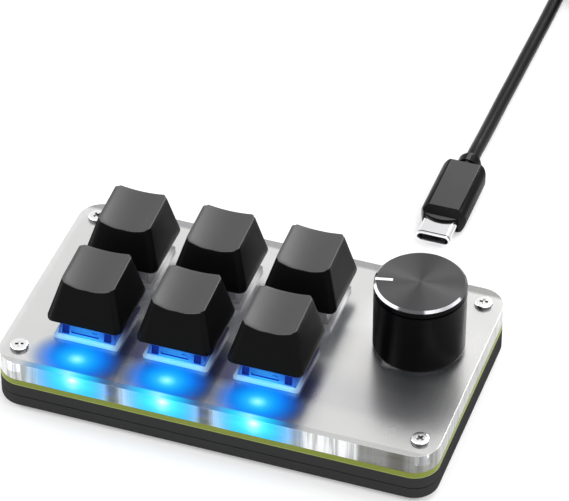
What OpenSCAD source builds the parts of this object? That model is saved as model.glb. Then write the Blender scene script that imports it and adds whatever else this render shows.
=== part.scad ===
// Desktop macro keypad: six sprung keys, one push-and-turn knob and a detachable data lead.
// Millimetres, +Z up. The origin is on the desk under the middle of the body, +X runs along
// the long side towards the knob and +Y towards the rear, where the data port is.

/* [Body] */
// Length of the body along its long side
body_w = 105; // [104:0.5:120]
// Depth of the body from front to rear
body_d = 60; // [59.5:0.5:72]
// Radius of the body's four upright corners
corner_r = 6; // [4:0.5:8]
// Thickness of the acrylic top plate
plate_t = 5; // [4.8:0.1:6]
// Thickness of the circuit board
board_t = 1.6; // [1.2:0.1:2]
// Height of the upper case layer
frame_h = 3.3; // [3:0.1:5]
// Height of the bottom cover
cover_h = 3.3; // [3.2:0.1:5]
// Thickness of the case's outer wall
wall_t = 2.4; // [1.6:0.1:3]
// Thickness of the bottom cover's floor
floor_t = 1.5; // [1.3:0.1:1.8]
// Rounding of the bottom cover's lower edge
cover_edge_r = 1; // [0.4:0.1:1.4]

/* [Fasteners and feet] */
// Thread diameter of the case screws
screw_d = 2; // [1.6:0.1:2.5]
// Diameter of a case screw's pan head
screw_head_d = 3.9; // [3.4:0.1:5]
// Height of a case screw's pan head
screw_head_h = 0.9; // [0.7:0.1:1.6]
// Distance of the screws from the body's short sides
screw_inset_x = 4.65; // [4:0.05:8]
// Distance of the screws from the body's long sides
screw_inset_y = 5.65; // [4:0.05:6.5]
// Outer diameter of the brass threaded inserts
insert_d = 3.2; // [3:0.1:3.6]
// Length of the brass threaded inserts
insert_l = 2.2; // [1.5:0.1:2.4]
// Diameter of the bosses round screws and inserts
boss_d = 6.8; // [5.4:0.1:8]
// Diameter of a rubber foot
foot_d = 8; // [6:0.5:10]
// Thickness of a rubber foot
foot_t = 1.5; // [1.2:0.1:2]
// Depth of the recess that a foot is glued into
foot_recess = 0.7; // [0.4:0.05:0.8]
// Distance of the feet's centres from the body's sides
foot_inset = 14; // [13:0.5:20]

/* [Keys] */
// Distance between key centres along the body
pitch_x = 21.75; // [19.5:0.05:23]
// Distance between the two rows of keys
pitch_y = 22.8; // [19.5:0.05:24]
// How far the group of keys and knob lies to the right of the body's middle
group_shift = 2.05; // [-1:0.05:3]
// Distance of the front row's centre from the front side
key_inset_y = 18.9; // [14:0.1:20]
// How far a key goes down
key_travel = 4; // [3:0.1:4.2]
// Width of a keycap at its skirt
cap_base = 18.1; // [17.5:0.1:18.6]
// Width of a keycap at its top
cap_top_w = 12.7; // [12:0.1:14]
// Depth of a keycap at its top
cap_top_d = 13; // [12:0.1:14]
// How far a keycap's top lies behind the middle of its skirt
cap_top_shift = 0.9; // [0:0.1:1.5]
// Height of a keycap at the middle of its top's rim
cap_h = 10.4; // [9.8:0.1:11.5]
// Slope of a keycap's top towards the front
cap_tilt = 3.8; // [0:0.1:6]
// Depth of the dish in a keycap's top
cap_dish = 0.8; // [0.3:0.1:1]
// Thickness of a keycap's walls
cap_wall_t = 1.3; // [1.1:0.1:1.4]
// Least thickness of a keycap's top
cap_top_t = 1.4; // [1:0.1:1.6]
// Gap between a fully pressed keycap and the switch's flange
cap_gap = 1; // [0.6:0.1:1.5]

/* [Switches] */
// Width of a switch's lower housing
housing_w = 13.8; // [13.6:0.1:14.2]
// Width of the flange that rests on the plate
flange_w = 15.6; // [15:0.1:16]
// Thickness of the flange that rests on the plate
flange_t = 1; // [0.8:0.1:1.2]
// Height of the upper housing above the flange
switch_cover_h = 5.6; // [5.4:0.1:6]
// Thickness of the lower housing's floor
housing_floor_t = 1.4; // [1:0.1:1.5]
// Diameter of the post that locates the housing in the board
post_d = 3.9; // [3.8:0.1:4.2]
// How far the post and the contacts reach below the board's upper face
post_l = 3.3; // [2.6:0.1:3.6]
// Diameter of the stem's guide pin in the post
stem_pin_d = 3.1; // [2.8:0.05:3.2]
// Width of the stem's block in the upper housing's opening
stem_w = 6.8; // [6.6:0.1:7]
// Depth of the stem's block in the upper housing's opening
stem_d = 6.4; // [6.2:0.1:6.6]
// Height of the cross that carries the keycap
cross_h = 3.7; // [3:0.1:3.9]
// Width across the cross that carries the keycap
cross_w = 4; // [3.8:0.05:4.1]
// Thickness of the cross's arms
cross_t = 1.2; // [1:0.05:1.3]
// Thickness of the return spring's wire
spring_wire = 0.4; // [0.3:0.02:0.45]
// Number of turns of the return spring
spring_turns = 6; // [4:0.5:7]

/* [Knob] */
// Distance of the knob's axis from the last column of keys
knob_pitch = 28.4; // [26:0.1:30]
// Distance of the knob's axis from the rear side
knob_inset_y = 24.2; // [20:0.1:30]
// Diameter of the knob
knob_d = 21.2; // [20.6:0.1:24]
// Height of the knob
knob_h = 18.2; // [16:0.1:20]
// Gap between the knob and the top plate
knob_gap = 1; // [0.8:0.1:2]
// Width of the bright chamfer round the knob's top
knob_chamfer = 0.35; // [0.2:0.05:0.8]
// Thickness of the knob's skirt
knob_skirt_t = 1.45; // [1:0.05:1.5]
// Thickness of the knob's top
knob_top_t = 1.5; // [1:0.1:2]
// Length of the pointer line in the knob's top
pointer_l = 4; // [2:0.1:6]
// Width of the pointer line in the knob's top
pointer_w = 0.8; // [0.4:0.1:1.2]
// How far the pointer line is turned from the knob's left side towards the front
pointer_turn = 13; // [-60:1:60]
// How far the knob goes down when it is pressed
press_travel = 0.5; // [0.3:0.05:0.6]
// Diameter of the encoder's shaft
shaft_d = 6; // [5.8:0.05:6.2]
// Height of the encoder's body above the board
encoder_h = 6.5; // [6.2:0.1:7]
// Width of the encoder's body
encoder_w = 11.8; // [11.4:0.1:12.2]
// Diameter of the encoder's bushing
bushing_d = 7; // [6.8:0.1:7.2]
// Length of the encoder's bushing
bushing_l = 5; // [4:0.1:6]

/* [Port and lights] */
// Distance of the data port's middle from the right side
port_inset_x = 26.5; // [18:0.5:60]
// Width of the data port's shell
port_w = 8.94; // [8.8:0.02:9.1]
// Height of the data port's shell
port_h = 3.2; // [3.1:0.02:3.3]
// Length of the data port's shell
port_l = 7.35; // [6.8:0.05:8]
// Thickness of a connector shell's sheet metal
sheet_t = 0.3; // [0.2:0.02:0.35]
// Distance of the front row of lights from the front side
light_inset_y = 7.5; // [6:0.1:9]
// Width of a light
light_w = 3.2; // [2.8:0.1:3.6]
// Depth of a light
light_d = 2.8; // [2.4:0.1:3]

/* [Lead] */
// Diameter of the data lead's cord
cord_d = 3.5; // [3:0.1:4]
// Width of the oval plug's moulded grip
grip_w = 11.3; // [10:0.1:12]
// Height of the oval plug's moulded grip
grip_h = 6; // [5:0.1:6.5]
// Length of the oval plug's moulded grip
grip_l = 21; // [16:0.1:24]
// Width of the oval plug's metal nose
nose_w = 8.34; // [8.2:0.02:8.4]
// Height of the oval plug's metal nose
nose_h = 2.56; // [2.4:0.02:2.6]
// Length of the oval plug's metal nose
nose_l = 6.7; // [6:0.1:7]

/* [Hidden] */
KEYS = 6;
// Radial gap round a screw, a post, a pin or a glued piece
fit_gap = 0.05;
// Radial gap round a piece that turns or slides
run_gap = 0.05;
// Gap beside a piece that moves freely
free_gap = 0.1;
// Room round a piece that only stands in a cut-out
room_gap = 0.3;
// How far a cut runs past the face it opens
over = 1;
eps = 0.01;

// Heights of the layers, from the desk up
foot_proud = foot_t - foot_recess;
z_cover = foot_proud;
z_frame = z_cover + cover_h;
z_board = z_frame + frame_h;
z_plate = z_board + board_t;
z_top = z_plate + plate_t;

// Key centres, rear row first, from left to right; keys and knob stand as one group in the body
COLUMNS = 3;
group_w = (COLUMNS - 1) * pitch_x + knob_pitch;
key_x = group_shift - group_w / 2;
key_pos = [for (row = [1, 0]) for (col = [0:COLUMNS - 1])
    [key_x + col * pitch_x, key_inset_y - body_d / 2 + row * pitch_y]];
// Places of a switch's two contacts, from the middle of the switch
contact_pos = [[-3.81, 2.54], [2.54, 5.08]];
contact_w = 0.9;
contact_t = 0.3;
contact_in = [0.6, 4];
contact_hole_d = 1.5;
// Place of a switch's light, from the middle of the switch
key_light_y = -4.7;
light_row_y = light_inset_y - body_d / 2;
light_pos = concat([for (p = key_pos) [p[0], p[1] + key_light_y]],
                   [for (i = [COLUMNS:KEYS - 1]) [key_pos[i][0], light_row_y]]);

// Switch heights, all tied to the plate and the board
z_flange = z_top + flange_t;
z_switch = z_flange + switch_cover_h;
flange_corner_r = 0.5;
switch_roof_t = 1.2;
switch_wall_t = 1;
switch_taper = [1.1, 1.5];
housing_wall_t = 1.1;
z_housing_floor = z_plate + housing_floor_t;
z_stem = z_switch - free_gap;
z_stem_low = z_housing_floor + key_travel + 2 * free_gap;
wing_w = 9.2;
wing_d = 3;
z_wing = z_switch - switch_roof_t - free_gap;
spring_r = stem_pin_d / 2 + room_gap + spring_wire / 2;
spring_well_r = spring_r + spring_wire / 2 + room_gap;
stem_roof_t = 2.3;
z_spring_top = z_stem - stem_roof_t;
pin_in = 0.3;

// Keycap heights
z_cap = z_flange + key_travel + cap_gap;
z_cap_top = z_cap + cap_h;
cap_post_d = 5.5;
cap_post_z = z_stem + free_gap;
cap_lip = 0.8;
cap_corner_r = 1;
cap_top_corner_r = 1.6;
cap_inner_r = 0.5;
cap_sheet = 0.05;
dish_r = (pow(cap_top_w / 2, 2) + pow(cap_dish, 2)) / (2 * cap_dish);

// Knob and encoder
knob_x = key_x + group_w;
knob_y = body_d / 2 - knob_inset_y;
z_encoder = z_plate + encoder_h;
z_bushing = z_encoder + bushing_l;
bracket_t = 0.8;
bracket_d = encoder_w + bracket_t;
tab_t = 0.5;
tab_w = 2;
tab_l = 1;
encoder_bottom_t = 2.5;
encoder_wall_t = 1.1;
rotor_d = encoder_w - 2 * encoder_wall_t;
rotor_flat = 2.4;
z_rotor = z_plate + encoder_bottom_t;
z_dome = z_plate + 0.5;
dome_d = 5;
dome_h = 0.4;
dome_t = 0.15;
tip_d = 2.9;
z_tip = z_dome + dome_h + press_travel + fit_gap;
z_knob = z_top + knob_gap;
z_knob_top = z_knob + knob_h;
z_knob_roof = z_knob_top - knob_top_t;
hub_roof_t = 0.9;
z_shaft = z_knob_roof - hub_roof_t - room_gap;
shaft_flat = 1.5;
shaft_flat_l = 8;
z_hub = z_encoder + press_travel + room_gap;
knob_foot = 0.4;
groove_down = 2.1;
groove_z = z_knob_top - groove_down;
groove_w = 0.5;
groove_t = 0.25;
pointer_t = 0.15;
pin_pitch = 2.5;
pin_edge = 0.7;
pin_row_y = encoder_w / 2 - pin_edge;
encoder_pins = concat([for (k = [-1, 0, 1]) [k * pin_pitch, -pin_row_y]],
                      [for (k = [-1, 1]) [k * pin_pitch, pin_row_y]]);
encoder_pin_d = 0.9;
encoder_pin_in = 1;
encoder_pin_out = 1.2;

// Data port, its mouth a little behind the rear face
port_back = 0.2;
port_x = body_w / 2 - port_inset_x;
port_y = body_d / 2 - port_back;
port_z = z_board - port_h / 2;
tongue_t = 0.7;
tongue_side = 1.17;
tongue_back = 1;
tongue_block_l = 1.8;

// Board parts on the underside
chip_w = 7;
chip_h = 1;
chip_at = [knob_x - 18, -12];
lead_n = 8;
lead_pitch = 0.75;
lead_w = 0.3;
lead_l = 0.8;
lead_t = 0.2;
// Small parts: place from the chip, from the port's inner end or from the row of lights, then size
chip_parts = [
    [-7, 9, 3.2, 2.5, 0.8], [8, 10, 1.6, 0.8, 0.5], [11, 10, 1.6, 0.8, 0.5], [-6, 3, 1.6, 0.8, 0.5],
    [-6, 0.5, 1.6, 0.8, 0.5], [-6, -2, 1.6, 0.8, 0.6], [8, 3, 0.8, 1.6, 0.5], [10, 3, 0.8, 1.6, 0.5],
    [9, -3, 2.9, 1.3, 1]];
port_parts = [[-8, -2.5, 1.6, 0.8, 0.5], [8, -3.5, 1.6, 0.8, 0.5], [-8, -5.5, 2.9, 1.3, 1]];
light_parts = [[-pitch_x / 2, 0.5, 1.6, 0.8, 0.5], [pitch_x / 2, 0.5, 1.6, 0.8, 0.5]];
function placed(parts, at) = [for (p = parts) [p[0] + at[0], p[1] + at[1], p[2], p[3], p[4]]];
small_parts = concat(placed(chip_parts, chip_at), placed(port_parts, [port_x, port_y - port_l]),
                     placed(light_parts, [key_pos[COLUMNS + 1][0], light_row_y]));

// Route of the cord on the desk: from the oval plug to the coil, and from the coil to the host plug
lead_x = 26;
nose_y = 55.6;
grip_corner_r = 2.4;
grip_bevel = [1.2, 1];
grip_bevel_l = 2.4;
grip_shoulder_r = [2.6, 0.5];
neck_l = 4.2;
neck_d = 5.8;
neck_step = 0.9;
grip_z = 3;
coil_at = [50.75, 184];
coil_r = 18.5;
coil_cols = 4;
coil_rows = 2;
tie_t = 0.5;
tie_w = 6;
tie_angle = 60;
tie_gap = 0.5;
route_in = [
    [26, 87.5, 3], [26, 91, 2.9], [26, 96, 2.5], [26, 102, 2.1], [26, 109, 1.8], [26.1, 116, 1.75],
    [26.3, 124, 1.75], [26.5, 133, 1.75], [26.7, 142, 1.75], [26.9, 151, 1.75], [27, 160, 1.8],
    [27, 168, 1.9], [27, 176, 2.1], [27, 184, 2.25]];
route_out = [
    [74.5, 184, 5.75], [74.5, 177, 5.7], [74.5, 170, 5.4], [74.6, 163, 4.8], [74.8, 156, 4.2],
    [75, 149, 3.8], [75, 142, 3.8]];
host_at = [75, 142, 3.8];
host_neck_l = 8;
host_grip = [15.6, 26, 7.4];
host_nose = [12, 12, 4.5];

$fn = 48;

// ---- Shared shapes ----

// Square with round corners, centred
module rounded_square(w, d, r) {
    square([w - 2 * r, d], center = true);
    square([w, d - 2 * r], center = true);
    for (x = [-1, 1], y = [-1, 1]) translate([x * (w / 2 - r), y * (d / 2 - r)]) circle(r);
}

module slab(w, d, r, h) { linear_extrude(h) rounded_square(w, d, r); }

// Oval with straight long sides, centred
module oval(w, h) {
    square([w - h, h], center = true);
    for (s = [-1, 1]) translate([s * (w - h) / 2, 0]) circle(h / 2);
}

// Box whose four sides lean in towards a smaller top: two crossed wedges
module frustum(low, high, h) {
    intersection() {
        rotate([90, 0, 0]) linear_extrude(2 * low[1], center = true)
            polygon([[-low[0] / 2, 0], [low[0] / 2, 0], [high[0] / 2, h], [-high[0] / 2, h]]);
        rotate([90, 0, 90]) linear_extrude(2 * low[0], center = true)
            polygon([[-low[1] / 2, 0], [low[1] / 2, 0], [high[1] / 2, h], [-high[1] / 2, h]]);
    }
}

// Cross of two bars
module cross(w, t, h) {
    translate([-w / 2, -t / 2, 0]) cube([w, t, h]);
    translate([-t / 2, -w / 2, 0]) cube([t, w, h]);
}

module at_screws() {
    for (x = [-1, 1], y = [-1, 1])
        translate([x * (body_w / 2 - screw_inset_x), y * (body_d / 2 - screw_inset_y), 0]) children();
}

module at_feet() {
    for (x = [-1, 1], y = [-1, 1])
        translate([x * (body_w / 2 - foot_inset), y * (body_d / 2 - foot_inset), 0]) children();
}

module at_points(places) {
    for (p = places) translate([p[0], p[1], 0]) children();
}

// Tube swept along a path of points, as one closed skin
function unit(v) = v / norm(v);
function heading(path, i) = unit(path[min(i + 1, len(path) - 1)] - path[max(i - 1, 0)]);
function ring(centre, along, r, sides) =
    let (side = unit(cross(along, [0, 0, 1])), up = cross(side, along))
    [for (k = [0:sides - 1]) centre + r * (cos(360 * k / sides) * side + sin(360 * k / sides) * up)];
module tube(path, r, sides) {
    last = (len(path) - 1) * sides;
    polyhedron(
        points = [for (i = [0:len(path) - 1]) each ring(path[i], heading(path, i), r, sides)],
        faces = concat(
            [[for (k = [0:sides - 1]) k]],
            [for (i = [0:len(path) - 2]) for (k = [0:sides - 1])
                let (a = i * sides + k, b = i * sides + (k + 1) % sides) each
                [[a, a + sides, b + sides], [a, b + sides, b]]],
            [[for (k = [sides - 1:-1:0]) last + k]]));
}

// ---- Body ----

module top_plate() {
    window = housing_w + 4 * fit_gap;
    color([0.9, 0.92, 0.93, 0.6]) difference() {
        translate([0, 0, z_plate]) slab(body_w, body_d, corner_r, plate_t);
        at_points(key_pos) translate([0, 0, z_plate - over])
            linear_extrude(plate_t + 2 * over) square(window, center = true);
        at_screws() translate([0, 0, z_plate - over])
            cylinder(d = screw_d + 4 * fit_gap, h = plate_t + 2 * over);
        translate([knob_x, knob_y, z_plate - over]) linear_extrude(plate_t + 2 * over)
            square([encoder_w + 2 * tab_t + 2 * room_gap, bracket_d + 2 * room_gap], center = true);
    }
}

module circuit_board() {
    color([0.52, 0.58, 0.31]) difference() {
        translate([0, 0, z_board]) slab(body_w, body_d, corner_r, board_t);
        translate([0, 0, z_board - over]) {
            cut = board_t + 2 * over;
            at_screws() cylinder(d = screw_d + 4 * fit_gap, h = cut);
            at_points(key_pos) {
                cylinder(d = post_d + 2 * fit_gap, h = cut);
                at_points(contact_pos) cylinder(d = contact_hole_d, h = cut, $fn = 24);
            }
            at_points(light_pos) linear_extrude(cut)
                square([light_w + room_gap, light_d + room_gap], center = true);
            at_points([[knob_x, knob_y]]) {
                at_points(encoder_pins) cylinder(d = encoder_pin_d + 4 * fit_gap, h = cut, $fn = 24);
                for (s = [-1, 1]) translate([s * (encoder_w + tab_t) / 2, 0, 0]) linear_extrude(cut)
                    square([tab_t + room_gap, tab_w + room_gap], center = true);
            }
        }
    }
}

// Room for the data port in the case's rear wall
module port_notch() {
    translate([port_x - port_w / 2 - free_gap, port_y - port_l - free_gap, z_board - port_h - free_gap])
        cube([port_w + 2 * free_gap, port_l + 2 * over, port_h + free_gap + eps]);
}

module case_frame() {
    color([0.2, 0.2, 0.21]) difference() {
        union() {
            difference() {
                translate([0, 0, z_frame]) slab(body_w, body_d, corner_r, frame_h);
                translate([0, 0, z_frame - over])
                    slab(body_w - 2 * wall_t, body_d - 2 * wall_t, corner_r - wall_t, frame_h + 2 * over);
            }
            at_screws() translate([0, 0, z_frame]) cylinder(d = boss_d, h = frame_h);
        }
        at_screws() translate([0, 0, z_frame - over])
            cylinder(d = screw_d + 4 * fit_gap, h = frame_h + 2 * over);
        port_notch();
    }
}

module bottom_cover() {
    z_insert = z_frame - insert_l - 2 * fit_gap;
    color([0.19, 0.19, 0.2]) difference() {
        union() {
            difference() {
                hull() {
                    translate([0, 0, z_cover + cover_edge_r])
                        slab(body_w, body_d, corner_r, cover_h - cover_edge_r, $fn = 40);
                    for (a = [0, 30, 60]) {
                        inset = cover_edge_r * (1 - sin(a));
                        translate([0, 0, z_cover + cover_edge_r * (1 - cos(a))])
                            slab(body_w - 2 * inset, body_d - 2 * inset, corner_r - inset, eps, $fn = 40);
                    }
                }
                translate([0, 0, z_cover + floor_t])
                    slab(body_w - 2 * wall_t, body_d - 2 * wall_t, corner_r - wall_t, cover_h);
            }
            at_screws() translate([0, 0, z_cover + foot_recess])
                cylinder(d = boss_d, h = cover_h - foot_recess);
        }
        at_screws() translate([0, 0, z_insert]) cylinder(d = insert_d + 2 * fit_gap, h = insert_l + over);
        at_feet() translate([0, 0, z_cover - over])
            cylinder(d = foot_d + 2 * fit_gap, h = foot_recess + over);
        port_notch();
    }
}

module case_screws() {
    edge = 0.5;
    recess = [0.55 * screw_head_d, 0.4, 0.6];
    turned = 25;
    z_end = z_frame - insert_l;
    head = concat([[0, 0], [screw_head_d / 2, 0]],
        [for (a = [0:30:90]) [screw_head_d / 2 - edge + edge * cos(a), screw_head_h - edge + edge * sin(a)]],
        [[0, screw_head_h]]);
    color([0.8, 0.8, 0.8]) at_screws() difference() {
        union() {
            translate([0, 0, z_top]) rotate_extrude() polygon(head);
            translate([0, 0, z_end]) cylinder(d = screw_d, h = z_top - z_end + eps);
        }
        translate([0, 0, z_top + screw_head_h - recess[2]]) rotate(turned)
            cross(recess[0], recess[1], recess[2] + over);
    }
}

// Brass sleeves, each with a groove round its middle
module threaded_inserts() {
    groove = 0.4;
    color([0.78, 0.62, 0.3]) at_screws() translate([0, 0, z_frame - insert_l]) difference() {
        cylinder(d = insert_d, h = insert_l);
        translate([0, 0, -over]) cylinder(d = screw_d + fit_gap, h = insert_l + 2 * over);
        translate([0, 0, (insert_l - groove) / 2]) difference() {
            cylinder(d = insert_d + over, h = groove);
            translate([0, 0, -over]) cylinder(d = insert_d - groove, h = groove + 2 * over);
        }
    }
}

module rubber_feet() {
    edge = 0.3;
    color([0.08, 0.08, 0.08]) at_feet() rotate_extrude()
        polygon([[0, 0], [foot_d / 2 - edge, 0], [foot_d / 2, edge], [foot_d / 2, foot_t], [0, foot_t]]);
}

// ---- Board parts ----

// Light in a hole of the board, soldered to its underside by two tabs
module board_lights() {
    tab = [1, 0.6, 0.25];
    tab_y = 0.8;
    color([0.75, 0.9, 1]) at_points(light_pos) translate([0, 0, z_board - tab[2]]) {
        linear_extrude(board_t + tab[2] - free_gap) square([light_w, light_d], center = true);
        for (s = [-1, 1]) translate([0, s * tab_y, 0])
            linear_extrude(tab[2]) square([light_w + 2 * tab[0], tab[1]], center = true);
    }
}

module switch_contacts() {
    color([0.8, 0.7, 0.45]) at_points(key_pos) for (i = [0, 1])
        translate([contact_pos[i][0], contact_pos[i][1], z_plate - post_l]) {
            across = i == 0 ? [contact_t, contact_w] : [contact_w, contact_t];
            linear_extrude(post_l + housing_floor_t + contact_in[i]) square(across, center = true);
        }
}

// Flat chip with leads on all four sides and a round mark in one corner
module controller_chip() {
    mark_d = 0.8;
    mark_in = 1;
    stand = 0.1;
    color([0.12, 0.12, 0.13]) translate([chip_at[0], chip_at[1], z_board]) {
        difference() {
            translate([0, 0, -chip_h]) slab(chip_w, chip_w, stand, chip_h - stand, $fn = 16);
            translate([mark_in - chip_w / 2, mark_in - chip_w / 2, -chip_h - over])
                cylinder(d = mark_d, h = over + stand);
        }
        for (a = [0:90:270]) rotate(a) for (i = [0:lead_n - 1])
            translate([chip_w / 2 - lead_t, (i - (lead_n - 1) / 2) * lead_pitch - lead_w / 2, -lead_t])
                cube([lead_l + lead_t, lead_w, lead_t]);
    }
}

module small_components() {
    color([0.55, 0.5, 0.42]) for (p = small_parts)
        translate([p[0] - p[2] / 2, p[1] - p[3] / 2, z_board - p[4]]) cube([p[2], p[3], p[4]]);
}

// Sheet-metal shell of the data port, closed at its inner end
module port_shell() {
    color([0.78, 0.78, 0.8]) translate([port_x, port_y, port_z]) rotate([90, 0, 0]) difference() {
        linear_extrude(port_l) oval(port_w, port_h);
        translate([0, 0, -over]) linear_extrude(port_l + over - sheet_t)
            oval(port_w - 2 * sheet_t, port_h - 2 * sheet_t);
    }
}

// Insulator in the shell: a block at its inner end and the contact tongue
module port_tongue() {
    width = port_w - 2 * tongue_side;
    color([0.12, 0.12, 0.12]) translate([port_x, port_y, port_z]) rotate([90, 0, 0]) {
        translate([0, 0, port_l - sheet_t - tongue_block_l]) linear_extrude(tongue_block_l)
            square([width, port_h - 2 * sheet_t - 2 * free_gap], center = true);
        translate([0, 0, tongue_back]) linear_extrude(port_l - sheet_t - tongue_back)
            square([width, tongue_t], center = true);
    }
}

// ---- Switches and keys ----

module at_key(i) { translate([key_pos[i][0], key_pos[i][1], 0]) children(); }

// Lower housing: flange on the plate, cup down to the board, hollow post through the board
module switch_base(i) {
    room = housing_w - 2 * housing_wall_t;
    slot = 2 * free_gap;
    color([0.85, 0.9, 0.95, 0.8]) at_key(i) difference() {
        union() {
            translate([0, 0, z_top]) slab(flange_w, flange_w, flange_corner_r, flange_t, $fn = 16);
            translate([-housing_w / 2, -housing_w / 2, z_plate]) cube([housing_w, housing_w, plate_t + eps]);
            translate([0, 0, z_plate - post_l]) cylinder(d = post_d, h = post_l + eps);
        }
        translate([-room / 2, -room / 2, z_housing_floor]) cube([room, room, plate_t + flange_t]);
        translate([0, 0, z_plate - post_l + pin_in])
            cylinder(d = stem_pin_d + 2 * run_gap, h = post_l + plate_t);
        for (k = [0, 1]) translate([contact_pos[k][0], contact_pos[k][1], z_plate - over]) {
            across = k == 0 ? [contact_t, contact_w] : [contact_w, contact_t];
            linear_extrude(housing_floor_t + 2 * over)
                square([across[0] + slot, across[1] + slot], center = true);
        }
    }
}

// Upper housing: leaning walls and a roof with the stem's opening and a light slot
module switch_cover(i) {
    low = (housing_w + 2 * free_gap) * [1, 1];
    light_slot = [light_w + 2 * free_gap, 0.8];
    high = [low[0] - 2 * switch_taper[0], low[1] - 2 * switch_taper[1]];
    thick = [2 * switch_wall_t, 2 * switch_wall_t];
    inner_h = switch_cover_h - switch_roof_t;
    lean = 2 * switch_taper * inner_h / switch_cover_h;
    color([0.8, 0.88, 0.95, 0.6]) at_key(i) difference() {
        translate([0, 0, z_flange]) frustum(low, high, switch_cover_h);
        translate([0, 0, z_flange]) frustum(low - thick, low - thick - lean, inner_h);
        translate([-stem_w / 2 - free_gap, -stem_d / 2 - free_gap, z_flange])
            cube([stem_w + 2 * free_gap, stem_d + 2 * free_gap, switch_cover_h + over]);
        translate([0, key_light_y + 2 * free_gap, z_flange])
            linear_extrude(switch_cover_h + over) square(light_slot, center = true);
    }
}

// Sliding stem: block with wings under the roof, spring well, guide pin and cross
module key_stem(i) {
    color([0.16, 0.35, 0.75]) at_key(i) {
        difference() {
            union() {
                translate([-stem_w / 2, -stem_d / 2, z_stem_low]) cube([stem_w, stem_d, z_stem - z_stem_low]);
                translate([-wing_w / 2, -wing_d / 2, z_stem_low]) cube([wing_w, wing_d, z_wing - z_stem_low]);
            }
            translate([0, 0, z_stem_low - over])
                cylinder(r = spring_well_r, h = z_spring_top - z_stem_low + over);
        }
        translate([0, 0, z_housing_floor - pin_in])
            cylinder(d = stem_pin_d, h = z_spring_top - z_housing_floor + pin_in + eps);
        translate([0, 0, z_stem - eps]) cross(cross_w, cross_t, cross_h + eps);
    }
}

// Return spring round the guide pin, from the housing's floor to the top of the stem's well
module key_spring(i) {
    steps = 8 * spring_turns;
    low = z_housing_floor + spring_wire / 2 + eps;
    high = z_spring_top - spring_wire / 2 - eps;
    color([0.75, 0.75, 0.75]) at_key(i)
        tube([for (s = [0:steps]) [spring_r * cos(45 * s), spring_r * sin(45 * s),
             low + (high - low) * s / steps]], spring_wire / 2, 6);
}

// Keycap: leaning shell with a dished top and a post with a cross-shaped socket
module keycap(i) {
    roof = cap_h - cap_dish - cap_top_t;
    skirt_in = cap_base - 2 * cap_wall_t;
    roof_in = [cap_top_w, cap_top_d] - (2 * cap_wall_t - cap_inner_r) * [1, 1];
    color([0.1, 0.1, 0.11]) at_key(i) {
        difference() {
            hull() {
                translate([0, 0, z_cap]) slab(cap_base, cap_base, cap_corner_r, cap_lip, $fn = 24);
                translate([0, cap_top_shift, z_cap_top - cap_sheet]) rotate([cap_tilt, 0, 0])
                    slab(cap_top_w, cap_top_d, cap_top_corner_r, cap_sheet, $fn = 32);
            }
            hull() {
                translate([0, 0, z_cap - cap_sheet])
                    slab(skirt_in, skirt_in, cap_inner_r, cap_sheet, $fn = 16);
                translate([0, cap_top_shift, z_cap + roof]) rotate([cap_tilt, 0, 0])
                    slab(roof_in[0], roof_in[1], cap_inner_r, cap_sheet, $fn = 16);
            }
            translate([0, cap_top_shift, z_cap_top]) rotate([90 + cap_tilt, 0, 0])
                translate([0, dish_r - cap_dish, 0])
                    cylinder(r = dish_r, h = 2 * cap_base, center = true, $fn = 180);
        }
        difference() {
            translate([0, 0, cap_post_z]) cylinder(d = cap_post_d, h = z_cap + roof + cap_lip - cap_post_z);
            translate([0, 0, cap_post_z - over])
                cross(cross_w + 2 * fit_gap, cross_t + 2 * fit_gap, cross_h + over + 2 * free_gap);
        }
    }
}

// ---- Encoder and knob ----

module at_knob() { translate([knob_x, knob_y, 0]) children(); }

// Round bar with a flat on its +X side
module flat_bar(d, flat, h) {
    intersection() {
        cylinder(d = d, h = h);
        translate([-d, -d, -over]) cube([d + flat, 2 * d, h + 2 * over]);
    }
}

module encoder_base() {
    color([0.1, 0.1, 0.1]) at_knob() difference() {
        translate([-encoder_w / 2, -encoder_w / 2, z_plate])
            cube([encoder_w, encoder_w, encoder_h - bracket_t]);
        translate([0, 0, z_rotor]) cylinder(d = rotor_d + 2 * run_gap, h = encoder_h);
        translate([0, 0, z_dome])
            cylinder(d = dome_d + 4 * fit_gap, h = dome_h + press_travel + 2 * free_gap);
        translate([0, 0, z_dome + dome_h]) cylinder(d = tip_d + 4 * run_gap, h = encoder_h);
        at_points(encoder_pins) translate([0, 0, z_plate - over])
            cylinder(d = encoder_pin_d + fit_gap, h = over + encoder_pin_in + fit_gap, $fn = 24);
    }
}

// Metal bracket: top plate with the bushing, and two tabs down into the board
module encoder_bracket() {
    color([0.72, 0.72, 0.7]) at_knob() difference() {
        union() {
            translate([0, 0, z_encoder - bracket_t]) linear_extrude(bracket_t)
                square([encoder_w + 2 * tab_t, bracket_d], center = true);
            for (s = [-1, 1]) translate([s * (encoder_w + tab_t) / 2, 0, z_board - tab_l])
                linear_extrude(z_encoder - z_board + tab_l - eps) square([tab_t - eps, tab_w], center = true);
            translate([0, 0, z_encoder - eps]) cylinder(d = bushing_d, h = bushing_l + eps);
        }
        translate([0, 0, z_encoder - bracket_t - over])
            cylinder(d = shaft_d + 2 * run_gap, h = bracket_t + bushing_l + 2 * over);
    }
}

module encoder_pins_group() {
    color([0.8, 0.8, 0.8]) at_knob() at_points(encoder_pins)
        translate([0, 0, z_board - encoder_pin_out])
            cylinder(d = encoder_pin_d, h = encoder_pin_out + board_t + encoder_pin_in, $fn = 24);
}

// Snap dome under the shaft's tip
module press_dome() {
    top = [[0, dome_h], [0.3 * dome_d, 0.7 * dome_h], [dome_d / 2, dome_t]];
    color([0.8, 0.8, 0.78]) at_knob() translate([0, 0, z_dome]) rotate_extrude()
        polygon(concat(top, [for (k = [2:-1:0]) top[k] - [0, dome_t]]));
}

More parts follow.
